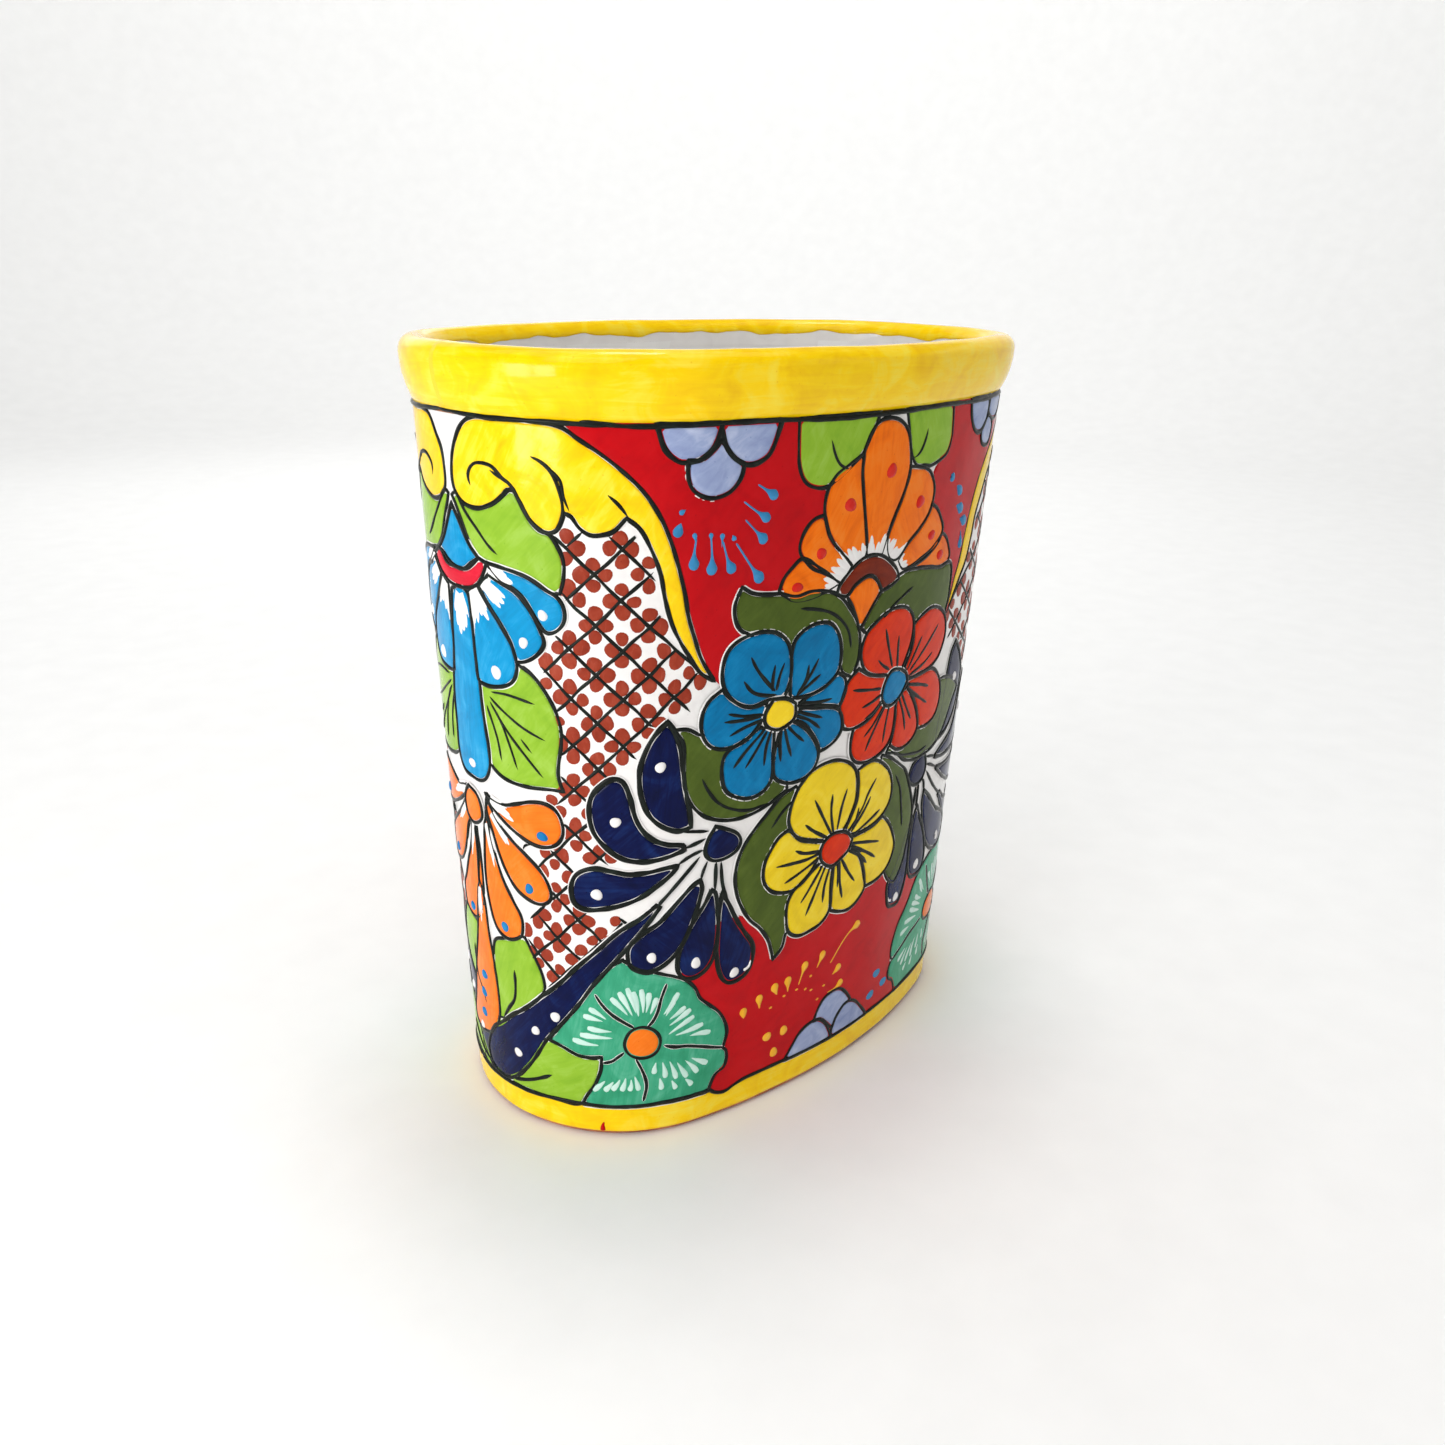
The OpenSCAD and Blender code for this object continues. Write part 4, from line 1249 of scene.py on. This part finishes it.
def makeLining():
    # the same tin glaze poured inside: milky white with soft runs, seen only in the mouth
    material = bpy.data.materials.new("white_tin_glaze_poured")
    material.use_nodes = True
    tree = material.node_tree
    shader = tree.nodes["Principled BSDF"]
    where = addNode(tree, "TexCoord", {}).outputs["Object"]
    runs = addNode(tree, "Mapping", {"Vector": where, "Scale": (1, 1, 0.6)})
    clouds = addNode(tree, "TexNoise", {"Vector": runs.outputs[0], "Scale": 1 / (pour["cloud"] * mm),
                                        "Detail": 4.0})
    tone = addNode(tree, "ValToRGB", {"Fac": clouds.outputs[0]}, stops=(
        (0.3, linear(pour["deep"])), (0.5, linear(pour["mid"])), (0.7, linear(pour["pale"]))))
    tree.links.new(tone.outputs[0], shader.inputs["Base Color"])
    soft = addNode(tree, "Bump", {"Height": clouds.outputs[0], "Strength": 0.6, "Distance": pour["relief"] * mm})
    tree.links.new(soft.outputs[0], shader.inputs["Normal"])
    rough = addNode(tree, "MapRange", {"Value": clouds.outputs[0], "To Min": 0.08, "To Max": 0.2})
    tree.links.new(rough.outputs[0], shader.inputs["Roughness"])
    shader.inputs["IOR"].default_value = pour["ior"]
    shader.inputs["Coat Weight"].default_value = pour["coat"]
    return material


# Bare clay and lining that stay in view keep their own nodes
terracotta = makeTerracotta()
kept = dict(clay_wall=terracotta, clay_floor=terracotta, rim_coil=terracotta, white_lining=makeLining())
for node, material in kept.items():
    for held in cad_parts[node].material_slots:
        held.material = material

# Studio: a pale paper sweep, soft boxes overhead, and a low window on the left for the highlights
studio = dict(
    world=0.24, paper=("#F6F6F5", "#F9F9F8"),
    flat=2.2, curve=1.1, wall=1.9,      # in metres: the floor, the sweep and the height of its wall
    around=96,
)
lamps = (
    # place, target, width and height in metres, power in watts
    ("ceilingSoftbox", (0, 0, 3.0), (0, 0, 0), (3.4, 3.4), 34),
    ("overheadSoftbox", (0.14, 0.14, 1.8), (0, 0, 0), (0.45, 0.45), 6.6),
    ("softboxAbove", (-1.0, -0.5, 1.5), (0, 0, 0.18), (1.0, 1.0), 5.2),
    ("softboxRight", (1.1, -1.5, 0.9), (0, 0, 0.18), (0.8, 1.0), 0.6),
    ("softboxBack", (0.6, 1.6, 1.2), (0, 0, 0.18), (1.6, 1.2), 4),
    ("backdropLamp", (0.9, 0.9, 2.4), (2.9, 2.9, 0.8), (1.6, 0.8), 28),
    ("windowPaneA", (-1.15, -0.225, 0.29), (-0.1, -0.05, 0.29), (0.22, 0.46), 3.0),
    ("windowPaneB", (-1.15, 0.025, 0.29), (-0.1, -0.05, 0.29), (0.22, 0.46), 3.0),
)


def makeSweep():
    # flat, then curving up into a low wall all round
    profile = [(radius, 0.0) for radius in (0.0, 0.5, 1.0, 1.6, studio["flat"])]
    for a in np.linspace(0.1, math.pi / 2, 14):
        profile.append((studio["flat"] + studio["curve"] * math.sin(a), studio["curve"] * (1 - math.cos(a))))
    profile.append((studio["flat"] + studio["curve"], studio["wall"]))
    around = studio["around"]
    turns = np.arange(around) * 2 * math.pi / around
    points, faces = [(0, 0, 0)], []
    for radius, z in profile[1:]:
        points += [(radius * math.cos(a), radius * math.sin(a), z) for a in turns]
    for i in range(around):
        j = (i + 1) % around
        faces.append((0, 1 + i, 1 + j))
        for row in range(len(profile) - 2):
            a, b = 1 + row * around + i, 1 + row * around + j
            faces.append((a, a + around, b + around, b))
    mesh = bpy.data.meshes.new("floor")
    mesh.from_pydata(points, [], faces)
    mesh.polygons.foreach_set("use_smooth", np.ones(len(faces), bool))
    floor = bpy.data.objects.new("floor", mesh)
    bpy.context.collection.objects.link(floor)
    # uncoated paper: matt, with the faintest cloud of its fibres
    paper = bpy.data.materials.new("white_paper_sweep")
    paper.use_nodes = True
    tree = paper.node_tree
    shader = tree.nodes["Principled BSDF"]
    where = addNode(tree, "TexCoord", {}).outputs["Object"]
    fibre = addNode(tree, "TexNoise", {"Vector": where, "Scale": 30.0, "Detail": 3.0})
    tone = addNode(tree, "ValToRGB", {"Fac": fibre.outputs[0]}, stops=(
        (0.3, linear(studio["paper"][0])), (0.7, linear(studio["paper"][1]))))
    tree.links.new(tone.outputs[0], shader.inputs["Base Color"])
    shader.inputs["Roughness"].default_value = 0.9
    shader.inputs["Specular IOR Level"].default_value = 0.1
    mesh.materials.append(paper)


def makeLamps():
    world = bpy.data.worlds.new("studio")
    world.use_nodes = True
    background = world.node_tree.nodes["Background"]
    background.inputs["Color"].default_value = (1, 1, 1, 1)
    background.inputs["Strength"].default_value = studio["world"]
    bpy.context.scene.world = world
    for name, place, target, size, power in lamps:
        lamp = bpy.data.lights.new(name, "AREA")
        lamp.shape = "RECTANGLE"
        lamp.size, lamp.size_y = size
        lamp.energy = power
        held = bpy.data.objects.new(name, lamp)
        held.location = place
        held.rotation_euler = (Vector(target) - Vector(place)).to_track_quat("-Z", "Y").to_euler()
        bpy.context.collection.objects.link(held)


makeSweep()
makeLamps()

# Camera
view = dict(
    turn=-0.7976, rise=0.3503, roll=0.0216,       # radians
    place=(-421.2, -412.1, 371.2), lens=31.771,   # mm
)


def makeCamera():
    camera = bpy.data.cameras.new("camera")
    camera.sensor_width, camera.lens = 36, view["lens"]
    camera.clip_start, camera.clip_end = 0.02, 50
    turn, rise, roll = view["turn"], view["rise"], view["roll"]
    back = Vector((math.sin(turn) * math.cos(rise), -math.cos(turn) * math.cos(rise), math.sin(rise)))
    right = Vector((0, 0, 1)).cross(back).normalized()
    up = back.cross(right)
    right, up = math.cos(roll) * right + math.sin(roll) * up, math.cos(roll) * up - math.sin(roll) * right
    matrix = Matrix((right, up, back)).transposed().to_4x4()
    matrix.translation = Vector(view["place"]) * mm
    held = bpy.data.objects.new("camera", camera)
    held.matrix_world = matrix
    bpy.context.collection.objects.link(held)
    bpy.context.scene.camera = held


makeCamera()
bpy.context.scene.view_settings.view_transform = "Standard"
print("studio ready")
